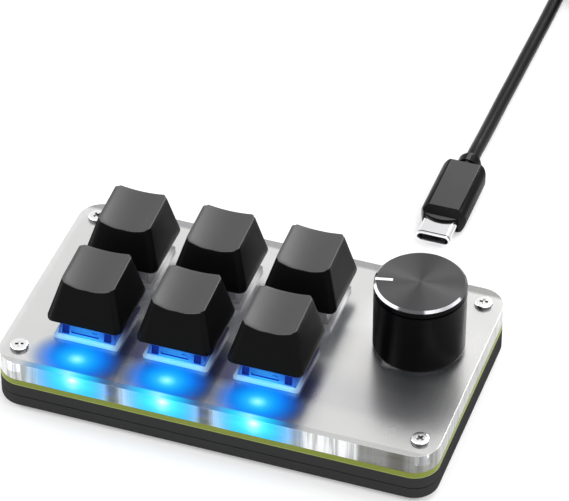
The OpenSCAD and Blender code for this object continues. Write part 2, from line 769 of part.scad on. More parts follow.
module encoder_rotor() {
    height = z_encoder - bracket_t - free_gap - z_rotor - run_gap;
    color([0.9, 0.9, 0.88]) at_knob() translate([0, 0, z_rotor + run_gap]) difference() {
        cylinder(d = rotor_d, h = height);
        translate([0, 0, -over]) flat_bar(shaft_d + 2 * run_gap, rotor_flat + run_gap, height + 2 * over);
    }
}

// Shaft: tip on the dome, flat in the rotor, round in the bushing, flat in the knob
module encoder_shaft() {
    z_low = z_rotor + press_travel + free_gap;
    z_round = z_encoder - bracket_t + press_travel;
    color([0.75, 0.75, 0.75]) at_knob() {
        translate([0, 0, z_tip]) cylinder(d = tip_d, h = z_low - z_tip + eps);
        translate([0, 0, z_low]) flat_bar(shaft_d, rotor_flat, z_round - z_low + eps);
        translate([0, 0, z_round]) cylinder(d = shaft_d, h = z_shaft - shaft_flat_l - z_round + eps);
        translate([0, 0, z_shaft - shaft_flat_l]) flat_bar(shaft_d, shaft_flat, shaft_flat_l);
    }
}

// Bar from the knob's chamfer inwards, h high from the bottom of the pointer line's slot
module pointer_bar(h) {
    rotate(pointer_turn)
        translate([knob_chamfer - knob_d / 2, -pointer_w / 2, z_knob_top - pointer_t])
            cube([pointer_l, pointer_w, h]);
}

// Turned shell with the bright chamfer and the groove below it
module knob_shell() {
    r = knob_d / 2;
    inner = r - knob_skirt_t;
    color([0.16, 0.16, 0.17]) at_knob() difference() {
        rotate_extrude($fn = 120) polygon([
            [inner, z_knob], [r - knob_foot, z_knob], [r, z_knob + knob_foot],
            [r, groove_z - groove_w / 2], [r - groove_t, groove_z - groove_w / 2 + groove_t],
            [r - groove_t, groove_z + groove_w / 2 - groove_t], [r, groove_z + groove_w / 2],
            [r, z_knob_top - knob_chamfer], [r - knob_chamfer, z_knob_top], [0, z_knob_top],
            [0, z_knob_roof], [inner, z_knob_roof]]);
        pointer_bar(pointer_t + over);
    }
}

// Moulded insert that fills the shell and grips the shaft's flat
module knob_hub() {
    clear = z_bushing + press_travel + room_gap;
    z_grip = z_shaft - shaft_flat_l + free_gap;
    color([0.08, 0.08, 0.08]) at_knob() difference() {
        translate([0, 0, z_hub]) cylinder(r = knob_d / 2 - knob_skirt_t - fit_gap, h = z_knob_roof - z_hub);
        translate([0, 0, z_hub - over]) cylinder(d = bushing_d + 2 * room_gap, h = clear - z_hub + over);
        translate([0, 0, clear - over]) cylinder(d = shaft_d + 4 * free_gap, h = z_grip - clear + over);
        translate([0, 0, clear])
            flat_bar(shaft_d + fit_gap, shaft_flat + fit_gap / 2, z_shaft + room_gap - clear);
    }
}

module knob_pointer() { color([0.95, 0.95, 0.95]) at_knob() pointer_bar(pointer_t); }

// ---- Data lead, lying on the desk behind the body ----

module plug_nose() {
    color([0.8, 0.8, 0.82]) translate([lead_x, nose_y + nose_l, grip_z]) rotate([90, 0, 0])
        difference() {
            linear_extrude(nose_l) oval(nose_w, nose_h);
            translate([0, 0, -over]) linear_extrude(nose_l + 2 * over)
                oval(nose_w - 2 * sheet_t, nose_h - 2 * sheet_t);
        }
}

// Side or top view of the grip, pointing along +Y: bevelled front, round rear corners
module grip_view(w, bevel, r) {
    polygon([[bevel - w / 2, 0], [w / 2 - bevel, 0], [w / 2, grip_bevel_l], [w / 2, grip_l - r],
             [-w / 2, grip_l - r], [-w / 2, grip_bevel_l]]);
    translate([0, grip_l - r]) square([w - 2 * r, 2 * r], center = true);
    for (s = [-1, 1]) translate([s * (w / 2 - r), grip_l - r]) circle(r);
}

// Moulded grip with a collared neck and the plug's inner block
module plug_grip() {
    block_l = 2.7;
    color([0.13, 0.13, 0.13]) translate([lead_x, nose_y + nose_l, grip_z]) {
        intersection() {
            rotate([-90, 0, 0]) linear_extrude(grip_l) rounded_square(grip_w, grip_h, grip_corner_r);
            linear_extrude(grip_h, center = true) grip_view(grip_w, grip_bevel[0], grip_shoulder_r[0]);
            rotate([0, 90, 0]) linear_extrude(grip_w, center = true)
                grip_view(grip_h, grip_bevel[1], grip_shoulder_r[1]);
        }
        translate([0, grip_l - neck_step, 0]) rotate([-90, 0, 0])
            cylinder(d = neck_d - neck_step, h = neck_l + neck_step);
        translate([0, grip_l + neck_step, 0]) rotate([-90, 0, 0])
            cylinder(d = neck_d, h = neck_l - 2 * neck_step);
        translate([0, eps, 0]) rotate([90, 0, 0]) linear_extrude(block_l)
            oval(nose_w - 2 * sheet_t - free_gap, nose_h - 2 * sheet_t - free_gap);
    }
}

module cord_run() {
    color([0.12, 0.12, 0.12]) {
        tube(route_in, cord_d / 2, 8);
        tube(route_out, cord_d / 2, 8);
    }
}

// Outer shape of the coiled cord, four turns wide and two high
module cord_coil() {
    color([0.12, 0.12, 0.12]) translate([coil_at[0], coil_at[1], tie_t + coil_rows * cord_d / 2])
        rotate_extrude($fn = 96) translate([coil_r, 0])
            rounded_square(coil_cols * cord_d, coil_rows * cord_d, cord_d / 2 - eps);
}

// Soft strap round the coil
module cord_tie() {
    w = coil_cols * cord_d;
    h = coil_rows * cord_d;
    inner_r = 1.5;
    color([0.07, 0.07, 0.07]) translate([coil_at[0], coil_at[1], tie_t + h / 2])
        rotate(tie_angle) translate([coil_r, tie_w / 2, 0]) rotate([90, 0, 0]) linear_extrude(tie_w)
            difference() {
                rounded_square(w + 2 * (tie_gap + tie_t), h + 2 * tie_t, inner_r + tie_t);
                rounded_square(w + 2 * tie_gap, h + 2 * fit_gap, inner_r);
            }
}

module host_plug_nose() {
    size = host_nose;
    color([0.8, 0.8, 0.82]) translate([host_at[0], host_at[1] - host_neck_l - host_grip[1], host_at[2]])
        rotate([90, 0, 0]) linear_extrude(size[1]) difference() {
            square([size[0], size[2]], center = true);
            square([size[0] - 2 * sheet_t, size[2] - 2 * sheet_t], center = true);
        }
}

// Moulded grip of the host plug with its tapered neck and the contact block inside the nose
module host_plug_grip() {
    g = host_grip;
    overlap = 0.5;
    tongue = [host_nose[0] - 2 * sheet_t - free_gap, 1.8, host_nose[1] - 0.8];
    color([0.13, 0.13, 0.13]) translate(host_at) rotate([90, 0, 0]) {
        translate([0, 0, host_neck_l]) hull() {
            slab(g[0] - 3, g[2] - 1.6, 1.6, eps, $fn = 24);
            translate([0, 0, 1.5]) slab(g[0], g[2], 2, g[1] - 2.5, $fn = 24);
            translate([0, 0, g[1] - eps]) slab(g[0] - 1.4, g[2] - 1, 1.4, eps, $fn = 24);
        }
        rotate_extrude()
            polygon([[0, 0], [2.2, 0], [3, host_neck_l + overlap], [0, host_neck_l + overlap]]);
        translate([0, -tongue[1] / 2, host_neck_l + g[1] - eps]) linear_extrude(tongue[2])
            square([tongue[0], tongue[1]], center = true);
    }
}

top_plate();
circuit_board();
case_frame();
bottom_cover();
case_screws();
threaded_inserts();
rubber_feet();
board_lights();
switch_contacts();
controller_chip();
small_components();
port_shell();
port_tongue();
for (i = [1:KEYS]) {
    switch_base(i - 1);
    switch_cover(i - 1);
    key_stem(i - 1);
    key_spring(i - 1);
    keycap(i - 1);
}
encoder_base();
encoder_bracket();
encoder_pins_group();
press_dome();
encoder_rotor();
encoder_shaft();
knob_shell();
knob_hub();
knob_pointer();
plug_nose();
plug_grip();
cord_run();
cord_coil();
cord_tie();
host_plug_nose();
host_plug_grip();
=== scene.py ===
"""Finishes, rounded shells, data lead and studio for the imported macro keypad."""

import math

import bmesh
import bpy
from mathutils import Matrix, Vector


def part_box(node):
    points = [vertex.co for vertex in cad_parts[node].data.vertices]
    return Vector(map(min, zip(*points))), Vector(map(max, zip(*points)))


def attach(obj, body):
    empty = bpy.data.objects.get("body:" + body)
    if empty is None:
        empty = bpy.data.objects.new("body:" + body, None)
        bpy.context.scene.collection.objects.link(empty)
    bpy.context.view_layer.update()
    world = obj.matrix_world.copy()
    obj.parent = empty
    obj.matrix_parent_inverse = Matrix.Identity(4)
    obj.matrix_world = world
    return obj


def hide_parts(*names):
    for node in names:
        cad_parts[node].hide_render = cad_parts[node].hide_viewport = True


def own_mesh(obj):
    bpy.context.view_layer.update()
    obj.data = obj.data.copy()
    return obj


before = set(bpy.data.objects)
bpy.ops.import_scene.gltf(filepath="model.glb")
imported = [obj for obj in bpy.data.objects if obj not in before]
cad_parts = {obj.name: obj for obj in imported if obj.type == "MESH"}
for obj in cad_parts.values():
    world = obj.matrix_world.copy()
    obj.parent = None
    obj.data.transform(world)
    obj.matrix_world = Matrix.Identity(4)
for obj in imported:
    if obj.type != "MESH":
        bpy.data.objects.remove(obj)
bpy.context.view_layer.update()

bl_info = {
    "name": "Macro Keypad",
    "version": (1, 0, 0),
    "blender": (4, 5, 0),
    "location": "3D View > Sidebar > Keypad",
    "description": "Builds the finished pieces of a desktop macro keypad round its packed frame",
    "category": "Object",
}

MM = 0.001
KEYS = range(1, 7)
COLUMNS = 3

# Route of the lead's cord, in metres: oval plug to coil, and coil to host plug
ROUTE_IN = [
    (0.026, 0.0875, 0.003), (0.026, 0.091, 0.0029), (0.026, 0.096, 0.0025), (0.026, 0.102, 0.0021),
    (0.026, 0.109, 0.0018), (0.0261, 0.116, 0.00175), (0.0263, 0.124, 0.00175),
    (0.0265, 0.133, 0.00175), (0.0267, 0.142, 0.00175), (0.0269, 0.151, 0.00175),
    (0.027, 0.16, 0.0018), (0.027, 0.168, 0.0019), (0.027, 0.176, 0.0021)]
ROUTE_OUT = [
    (0.0745, 0.184, 0.00575), (0.0745, 0.177, 0.0057), (0.0745, 0.17, 0.0054), (0.0746, 0.163, 0.0048),
    (0.0748, 0.156, 0.0042), (0.075, 0.149, 0.0038), (0.075, 0.142, 0.0038)]
COIL_CENTRE = (0.05075, 0.184)
COIL_RADIUS = 0.0185
COIL_COLUMNS = 4
COIL_LOW = 0.00225
COIL_STEPS = 20

# Clear plastic of the switches in the front row: tints and glow by the distance in millimetres from the
# middle of the housing's front, strength of the glow, and share of the light that passes through. The tints
# are painted glow near the light and painted shade away from it, and the glow is painted light
PLASTICS = {
    "base": (
        [(0, "#a0e8ff"), (6, "#a4d0ee"), (8, "#747a98"), (9.5, "#4c4c64"), (11, "#3e3c50")],
        [(0, "#48b8fa"), (5, "#74ccf8"), (7.2, "#98c0e0"), (8.6, "#3c4060"), (11, "#1c1c24")], 0.6, 0.2),
    "cover": (
        [(0, "#5cc4ff"), (5, "#4490e8"), (8.5, "#383c74"), (11, "#24242e")],
        [(0, "#48ccff"), (3.5, "#30a4f4"), (6, "#2c64d4"), (8.5, "#222c6c"), (11, "#080810")], 0.3, 0.6),
    "recess": (
        [(0, "#2448b8"), (6, "#1c2c88"), (11, "#101430")],
        [(0, "#1c50c8"), (6, "#1c3494"), (9, "#141c50"), (11, "#000000")], 0.3, 0.0)}

# The same for the rear row, which no light stands in front of: painted grey shade in front and behind,
# painted pale highlights at the sides
PALE_SHADE_TINTS = [(0, "#8c8c96"), (7.9, "#8c8c90"), (11, "#f0f0f0"), (14, "#f0f0f0"), (16.5, "#98989c")]
PALE_PAINTED_HIGHLIGHTS = [(0, "#000000"), (7.9, "#202020"), (11, "#9a9a9a"), (14, "#9a9a9a"), (16.5, "#181818")]
PALE_STRENGTH = 0.6


def srgb(code):
    """Linear colour with full alpha from an sRGB hex code such as #82934f."""
    parts = [int(code[k:k + 2], 16) / 255 for k in (1, 3, 5)]
    return tuple(p / 12.92 if p <= 0.04045 else ((p + 0.055) / 1.055) ** 2.4 for p in parts) + (1.0,)


def length(name, millimetres, description):
    """Property that holds a length, with its default given in millimetres."""
    return bpy.props.FloatProperty(
        name=name, description=description, default=millimetres * MM, unit="LENGTH", precision=6)


def colour(name, code, description):
    """Property that holds a colour, with its default given as an sRGB hex code."""
    return bpy.props.FloatVectorProperty(
        name=name, description=description, default=srgb(code), size=4, subtype="COLOR", min=0, max=1)


class KeypadSizes(bpy.types.PropertyGroup):
    """Sizes of the finished pieces that the frame doesn't give."""

    plate_corner: length("Plate corner", 6, "Radius of the acrylic plate's upright corners")
    plate_edge: length("Plate edge", 0.22, "Rounding of the acrylic plate's edges")
    window: length("Switch window", 14, "Width of a switch's window in the acrylic plate")
    case_edge: length("Case edge", 0.25, "Rounding of the edges of the two case layers")
    seam_height: length("Seam height", 0.3, "Height of the shadow gap between the two case layers")
    seam_depth: length("Seam depth", 0.4, "Depth of the shadow gap between the two case layers")
    screw_hole: length("Screw hole", 2.2, "Diameter of a screw hole in the acrylic plate")
    cap_top: length("Keycap top", 12.7, "Width of a keycap's top")
    cap_corner: length("Keycap corner", 1.6, "Corner radius of a keycap's skirt")
    cap_top_corner: length("Keycap top corner", 1.05, "Corner radius of a keycap's top")
    cap_wall: length("Keycap wall", 1.3, "Thickness of a keycap's walls")
    cap_rim: length("Keycap rim", 0.34, "Rounding between a keycap's top and its sides")
    cap_dish: length("Keycap dish", 0.75, "Depth of the dish at the rear of a keycap's top")
    cap_dish_front: length("Keycap dish in front", 1.15, "Depth of the dish at the front of a keycap's top")
    cap_shift: length("Keycap shift", 0.9, "How far a keycap's top lies behind the middle of its skirt")
    cap_tilt: bpy.props.FloatProperty(
        name="Keycap tilt", description="Slope of a keycap's top towards the front",
        default=math.radians(3.8), subtype="ANGLE")
    knurls: bpy.props.IntProperty(
        name="Knurls", description="Number of knurl teeth round the knob", default=120, min=24)
    knurl_depth: length("Knurl depth", 0.05, "Depth of the knurl on the knob's side")
    knob_chamfer: length("Knob chamfer", 0.55, "Width of the bright-cut chamfer round the knob's top")
    plug_lip: length("Plug lip", 1.3, "How far the oval plug's grip bulges over its metal nose")
    groove_down: length("Groove place", 2.1, "Distance of the knob's groove from its top")
    groove_width: length("Groove width", 0.5, "Width of the knob's groove")
    cord_diameter: length("Cord diameter", 3.5, "Diameter of the data lead's cord")
    cord_length: length("Cord length", 1000, "Length of the data lead's cord")
    camera_distance: length("Camera distance", 881.5, "Distance of the camera from its aim")
    camera_azimuth: bpy.props.FloatProperty(
        name="Camera azimuth", description="How far the camera stands to the right of the front",
        default=math.radians(19.13), subtype="ANGLE")
    camera_elevation: bpy.props.FloatProperty(
        name="Camera elevation", description="How high the camera stands above the desk",
        default=math.radians(40.1), subtype="ANGLE")
    camera_aim: bpy.props.FloatVectorProperty(
        name="Camera aim", description="Point of the desk at the middle of the picture",
        default=(-0.00737, 0.04323, 0), subtype="TRANSLATION", unit="LENGTH")
    camera_lens: bpy.props.FloatProperty(
        name="Camera lens", description="Focal length in millimetres on a sensor 36 mm wide", default=231.54)


class KeypadColours(bpy.types.PropertyGroup):
    """Colours of the finishes."""

    acrylic: colour("Acrylic", "#eeebe6", "Satin top face of the acrylic plate")
    laminate: colour("Laminate", "#7f8b1a", "Cut edge of the circuit board")
    case: colour("Case", "#3e3e3e", "Moulded case layers")
    keycap: colour("Keycap side", "#080808", "Moulded sides of the keycaps")
    # The keycap tops' lighter colour than the sides is painted light, on their real satin finish
    keycap_top: colour("Keycap top", "#1e1e1e", "Polished top faces of the keycaps")
    # The knob's top is painted much lighter than its side as painted light, on a real spun finish
    knob_top: colour("Knob top", "#515152", "Spun top face of the anodised knob")
    knob_side: colour("Knob side", "#111112", "Knurled side of the anodised knob")
    lead: colour("Lead", "#0b0b0b", "Jacket and grips of the data lead")
    # The grip's top is a satin finish painted lighter than the rest of the lead as painted light
    lead_top: colour("Lead grip top", "#3e3e3e", "Satin top face of the oval plug's grip")
    stem: colour("Stem", "#1d4fd6", "Sliding stems in the switches")
    light: colour("Light", "#0a84ff", "Light that spreads round each board light")
    light_core: colour("Light core", "#5fe4ff", "Middle of each board light")


# ---- Modelling by hand ----

def corners(node):
    """Low and high corner of a node's box at rest."""
    return [Vector(corner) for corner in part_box(node)]


def middle(node):
    """Centre of a node's box at rest."""
    low, high = corners(node)
    return (low + high) / 2


def only(piece):
    """Makes the piece the one selected and active object."""
    bpy.ops.object.select_all(action="DESELECT")
    piece.select_set(True)
    bpy.context.view_layer.objects.active = piece


def settle():
    """Moves the active object's place into its mesh and returns the object."""
    bpy.ops.object.transform_apply(location=True, rotation=True, scale=True)
    return bpy.context.object


def block(centre, size):
    """Box of that size round that centre."""
    bpy.ops.object.select_all(action="DESELECT")
    bpy.ops.mesh.primitive_cube_add(size=1, location=centre, scale=size)
    return settle()


def rod(centre, radius, depth, vertices=48, turn=(0, 0, 0)):
    """Cylinder of that radius and depth round that centre."""
    bpy.ops.object.select_all(action="DESELECT")
    bpy.ops.mesh.primitive_cylinder_add(
        vertices=vertices, radius=radius, depth=depth, location=centre, rotation=turn)
    return settle()


def shape(piece, kind, test, operator, **settings):
    """Selects the vertices, edges or faces that pass the test and runs one edit operator on them."""
    only(piece)
    bpy.ops.object.mode_set(mode="EDIT")
    bpy.ops.mesh.select_mode(type=kind)
    bpy.ops.mesh.select_all(action="DESELECT")
    mesh = bmesh.from_edit_mesh(piece.data)
    parts = {"VERT": mesh.verts, "EDGE": mesh.edges, "FACE": mesh.faces}[kind]
    for part in parts:
        if test(part):
            part.select_set(True)
    mesh.select_flush_mode()
    bmesh.update_edit_mesh(piece.data)
    operator(**settings)
    bpy.ops.object.mode_set(mode="OBJECT")


def along(edge, axis):
    """Whether an edge runs along one axis: 0 for X, 1 for Y, 2 for Z."""
    run = edge.verts[1].co - edge.verts[0].co
    return abs(run[axis]) > 0.95 * run.length


def round_upright(piece, radius, segments):
    """Rounds the upright edges of a box."""
    shape(piece, "EDGE", lambda edge: along(edge, 2), bpy.ops.mesh.bevel,
          offset=radius, segments=segments, affect="EDGES")


def soften(piece, width, segments=2, angle=35):
    """Rounds all edges sharper than the angle, in degrees."""
    only(piece)
    rounding = piece.modifiers.new("Rounding", "BEVEL")
    rounding.width = width
    rounding.segments = segments
    rounding.limit_method = "ANGLE"
    rounding.angle_limit = math.radians(angle)
    bpy.ops.object.modifier_apply(modifier=rounding.name)


def join(pieces):
    """Joins pieces into the first one and returns it."""
    only(pieces[0])
    for piece in pieces[1:]:
        piece.select_set(True)
    bpy.ops.object.join()
    return bpy.context.object


def combine(piece, tool, operation="DIFFERENCE"):
    """Cuts the tool out of the piece, or unites the two, and removes the tool."""
    only(piece)
    step = piece.modifiers.new("Cut", "BOOLEAN")
    step.operation = operation
    step.solver = "EXACT"
    step.object = tool
    bpy.ops.object.modifier_apply(modifier=step.name)
    bpy.data.objects.remove(tool)


def copy_node(name):
    """Merged copy of a node's mesh, its flat faces joined to single faces."""
    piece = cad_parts[name].copy()
    piece.data = piece.data.copy()
    piece.parent = None
    bpy.context.scene.collection.objects.link(piece)
    only(piece)
    bpy.ops.object.mode_set(mode="EDIT")
    bpy.ops.mesh.select_all(action="SELECT")
    bpy.ops.mesh.remove_doubles(threshold=0.002 * MM)
    bpy.ops.mesh.dissolve_limited(angle_limit=math.radians(0.5))
    bpy.ops.object.mode_set(mode="OBJECT")
    return piece


def rounded_node(name, width, segments=2, angle=35):
    """Merged copy of a node's mesh with its edges rounded."""
    piece = copy_node(name)
    soften(piece, width, segments, angle)
    return piece


def copy_to(piece, step):
    """Copy of a piece with its own mesh, moved by that step."""
    twin = piece.copy()
    twin.data = piece.data.copy()
    bpy.context.scene.collection.objects.link(twin)
    twin.location = step
    only(twin)
    return settle()


def rounded_outline(corner, points=64):
    """Square outline two units wide with round corners, as points at like spacing."""
    side = 2 * (1 - corner)
    arc = math.pi / 2 * corner
    outline = []
    for step in range(points):
        run = (step / points * 4) % 1 * (side + arc)
        if run < side:
            point = Vector((1, run - side / 2))
        else:
            turn = (run - side) / corner
            point = Vector((1 - corner + corner * math.cos(turn), side / 2 + corner * math.sin(turn)))
        quarter = int(step / points * 4)
        for _ in range(quarter):
            point = Vector((-point.y, point.x))
        outline.append(point)
    return outline


def oval_outline(ratio, points):
    """Oval with straight long sides, two units wide and high, for a piece ratio times as high as wide."""
    outline = []
    for step in range(points):
        angle = 2 * math.pi * (step + 0.5) / points
        side = math.copysign(1 - ratio, math.cos(angle))
        outline.append(Vector((side + ratio * math.cos(angle), math.sin(angle))))
    return outline


def round_outline(points):
    """Circle of radius one."""
    return [Vector((math.cos(2 * math.pi * k / points), math.sin(2 * math.pi * k / points)))
            for k in range(points)]


def sort_parts(piece):
    """Sorts the edges and faces by their vertices in edit mode, since extruding leaves them in any order."""
    mesh = bmesh.from_edit_mesh(piece.data)
    mesh.verts.index_update()
    count = len(mesh.verts)

    def place(part):
        numbers = [vertex.index for vertex in part.verts]
        return min(numbers) * count + max(numbers)

    for parts in (mesh.edges, mesh.faces):
        parts.sort(key=place)
    bmesh.update_edit_mesh(piece.data)


def loft(outline, stations):
    """Closed form through like outlines: each station is half width, half depth, X, Y and Z."""
    bpy.ops.object.select_all(action="DESELECT")
    bpy.ops.mesh.primitive_circle_add(vertices=len(outline), radius=1, fill_type="NGON")
    piece = bpy.context.object
    half_x, half_y, *centre = stations[0]
    for vertex, point in zip(piece.data.vertices, outline):
        vertex.co = (centre[0] + half_x * point.x, centre[1] + half_y * point.y, centre[2])
    bpy.ops.object.mode_set(mode="EDIT")
    bpy.ops.mesh.select_all(action="SELECT")
    for station in stations[1:]:
        step = [b - a for a, b in zip(centre, station[2:])]
        bpy.ops.mesh.extrude_region_move(TRANSFORM_OT_translate={"value": step})
        bpy.ops.transform.resize(
            value=(station[0] / half_x, station[1] / half_y, 1), center_override=station[2:])
        half_x, half_y, *centre = station
    bpy.ops.mesh.select_all(action="SELECT")
    bpy.ops.mesh.normals_make_consistent(inside=False)
    sort_parts(piece)
    bpy.ops.object.mode_set(mode="OBJECT")
    return piece


def lay_down(piece, place):
    """Turns a form modelled upright so that it points along +Y, and puts it in its place."""
    for vertex in piece.data.vertices:
        x, y, z = vertex.co
        vertex.co = (place[0] - x, place[1] + z, place[2] + y)
    return piece


def tube(name, points, diameter, sides=8, closed_ends=True):
    """Round bar along smooth points, as a curve of one open spline."""
    line = bpy.data.curves.new(name, "CURVE")
    line.dimensions = "3D"
    line.bevel_depth = diameter / 2
    line.bevel_resolution = sides // 2 - 2
    line.use_fill_caps = closed_ends
    line.resolution_u = 4
    spline = line.splines.new("BEZIER")
    spline.bezier_points.add(len(points) - 1)
    for point, place in zip(spline.bezier_points, points):
        point.co = place
        point.handle_left_type = point.handle_right_type = "AUTO"
    piece = bpy.data.objects.new(name, line)
    bpy.context.scene.collection.objects.link(piece)
    return piece


def hand_over(piece, name, body, finishes, nodes=(), smooth=20, choose=None):
    """Names, shades and paints a finished piece, and ties it to its body and nodes."""
    piece.name = name
    piece.data.name = name
    if piece.type == "MESH":
        only(piece)
        bpy.ops.object.shade_smooth_by_angle(angle=math.radians(smooth))
    piece.data.materials.clear()
    for finish in finishes:
        piece.data.materials.append(finish)
    if choose:
        for face in piece.data.polygons:
            face.material_index = choose(face)
    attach(piece, body)
    if nodes:
        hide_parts(*nodes)
    return piece


# ---- Finishes ----

def add_node(tree, kind, inputs=None, **settings):
    """Adds a node with its settings, and sets or links its inputs."""
    node = tree.nodes.new(kind)
    for name, value in settings.items():
        setattr(node, name, value)
    for name, value in (inputs or {}).items():
        if isinstance(value, bpy.types.NodeSocket):
            tree.links.new(value, node.inputs[name])
        else:
            node.inputs[name].default_value = value
    return node


def surface(name, shade, roughness, patch=8, spread=0.06, grain=0.12, depth=0.003, stretch=(1, 1, 1),
            **sockets):
    """Finish with a little unevenness in tone and gloss and a fine grain, its sizes in millimetres."""
    material = bpy.data.materials.new(name)
    material.use_nodes = True
    tree = material.node_tree
    shader = tree.nodes["Principled BSDF"]
    point = add_node(tree, "ShaderNodeTexCoord").outputs["Object"]
    point = add_node(tree, "ShaderNodeMapping", {"Vector": point, "Scale": stretch}).outputs["Vector"]
    patches = add_node(tree, "ShaderNodeTexNoise", {
        "Vector": point, "Scale": 1 / (patch * MM), "Detail": 3.0}).outputs["Fac"]
    grains = add_node(tree, "ShaderNodeTexNoise", {
        "Vector": point, "Scale": 1 / (grain * MM), "Detail": 2.0}).outputs["Fac"]
    dark, light = ([min(1, change * part) for part in shade[:3]] + [1.0]
                   for change in (1 - spread, 1 + spread))
    tone = add_node(tree, "ShaderNodeMix", {0: patches, 6: dark, 7: light}, data_type="RGBA")
    gloss = add_node(tree, "ShaderNodeMapRange", {
        "Value": patches, "To Min": max(0.02, roughness - 0.05), "To Max": roughness + 0.05})
    bump = add_node(tree, "ShaderNodeBump", {"Height": grains, "Distance": depth * MM, "Strength": 1.0})
    tree.links.new(tone.outputs[2], shader.inputs["Base Color"])
    tree.links.new(gloss.outputs[0], shader.inputs["Roughness"])
    tree.links.new(bump.outputs[0], shader.inputs["Normal"])
    for socket, value in sockets.items():
        shader.inputs[socket.replace("_", " ")].default_value = value
    return material


def object_axes(tree):
    """X, Y and Z of the shaded point, in metres."""
    point = add_node(tree, "ShaderNodeTexCoord").outputs["Object"]
    return add_node(tree, "ShaderNodeSeparateXYZ", {"Vector": point}).outputs


def nearest_light(tree, place, spread):
    """Distance in metres to the nearest light of a row at that place, each axis taken by its factor."""
    first, second = (middle(f"switch_base_{k}").x for k in (1, 2))
    pitch = second - first
    point = add_node(tree, "ShaderNodeTexCoord").outputs["Object"]
    offset = add_node(tree, "ShaderNodeVectorMath", {
        0: point, 1: (first + place[0], place[1], place[2])}, operation="SUBTRACT").outputs[0]
    steps = [("ADD", (pitch / 2, 0, 0)), ("SNAP", (pitch, 1, 1)), ("MAXIMUM", (0, 0, 0)),
             ("MINIMUM", ((COLUMNS - 1) * pitch, 0, 0)), ("SUBTRACT", offset), ("MULTIPLY", spread)]
    vector = offset
    for operation, value in steps:
        vector = add_node(tree, "ShaderNodeVectorMath", {0: vector, 1: value}, operation=operation).outputs[0]
    return add_node(tree, "ShaderNodeVectorMath", {0: vector}, operation="LENGTH").outputs["Value"]


def fade(tree, value, stops, interpolation="B_SPLINE"):
    """Colour that runs through the stops, placed in millimetres, as a value in metres grows."""
    start, end = stops[0][0], stops[-1][0]
    share = add_node(tree, "ShaderNodeMapRange", {
        "Value": value, "From Min": start * MM, "From Max": end * MM})
    ramp = add_node(tree, "ShaderNodeValToRGB", {"Fac": share.outputs[0]})
    ramp.color_ramp.interpolation = interpolation
    while len(ramp.color_ramp.elements) < len(stops):
        ramp.color_ramp.elements.new(0.5)
    for element, (place, shade) in zip(ramp.color_ramp.elements, stops):
        element.position = (place - start) / (end - start)
        element.color = srgb(shade) if isinstance(shade, str) else shade
    return ramp.outputs["Color"]


def tint_base(tree, shade):
    """Multiplies a finish's base colour by that colour."""
    base = tree.nodes["Principled BSDF"].inputs["Base Color"]
    tone = add_node(tree, "ShaderNodeMix", {0: 1.0, 6: base.links[0].from_socket, 7: shade},
                    data_type="RGBA", blend_type="MULTIPLY")
    tree.links.new(tone.outputs[2], base)


def shine(tree, shade, strength):
    """Makes a finish give light of that colour and strength."""
    shader = tree.nodes["Principled BSDF"]
    tree.links.new(shade, shader.inputs["Emission Color"])
    if isinstance(strength, bpy.types.NodeSocket):
        tree.links.new(strength, shader.inputs["Emission Strength"])
    else:
        shader.inputs["Emission Strength"].default_value = strength


def seen(tree):
    """One for a ray from the camera, off a glossy piece or through a clear one, and zero for any other."""
    rays = add_node(tree, "ShaderNodeLightPath").outputs
    result = rays["Is Camera Ray"]
    for kind in ("Is Glossy Ray", "Is Transmission Ray"):
        result = add_node(tree, "ShaderNodeMath", {0: result, 1: rays[kind]}, operation="MAXIMUM").outputs[0]
    return result


# Y of the middle of the light row in front
LIGHT_ROW_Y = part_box("board_lights")[0][1] + 1.4 * MM


def satin_acrylic(colours):
    """Cast acrylic with a blasted top: soft strong reflections, with painted glow of the light row, painted
    warm light and painted shade.
    """
    material = surface("cast_acrylic_blasted", colours.acrylic, 0.26, patch=14, spread=0.02, grain=0.08,
                       depth=0.0012, Metallic=0.87, IOR=1.49, Transmission_Weight=1.0)
    tree = material.node_tree
    x, y = object_axes(tree)[:2]
    across = nearest_light(tree, (0, 0, 0), (1, 0, 0))
    # The tint turns the base colour blue near the lights as painted glow, and the glow is painted light
    tint, glow = light_row(tree, y, across)
    # Painted warm light on the right in front of the knob, and painted grey shade in a band along the rear
    # edge
    painted_warm_light = fade(tree, x, [(20, "#000000"), (26, "#181500")], "LINEAR")
    glow = add_node(tree, "ShaderNodeMix", {0: 1.0, 6: glow, 7: painted_warm_light}, data_type="RGBA", blend_type="ADD")
    rear_painted_shade = fade(tree, y, [(27, "#ffffff"), (28, "#bababa"), (30, "#bababa")], "LINEAR")
    for shade in (tint, rear_painted_shade, gap_painted_shade(tree, x, y, across)):
        tint_base(tree, shade)
    shine(tree, glow.outputs[2], 1.0)
    return material


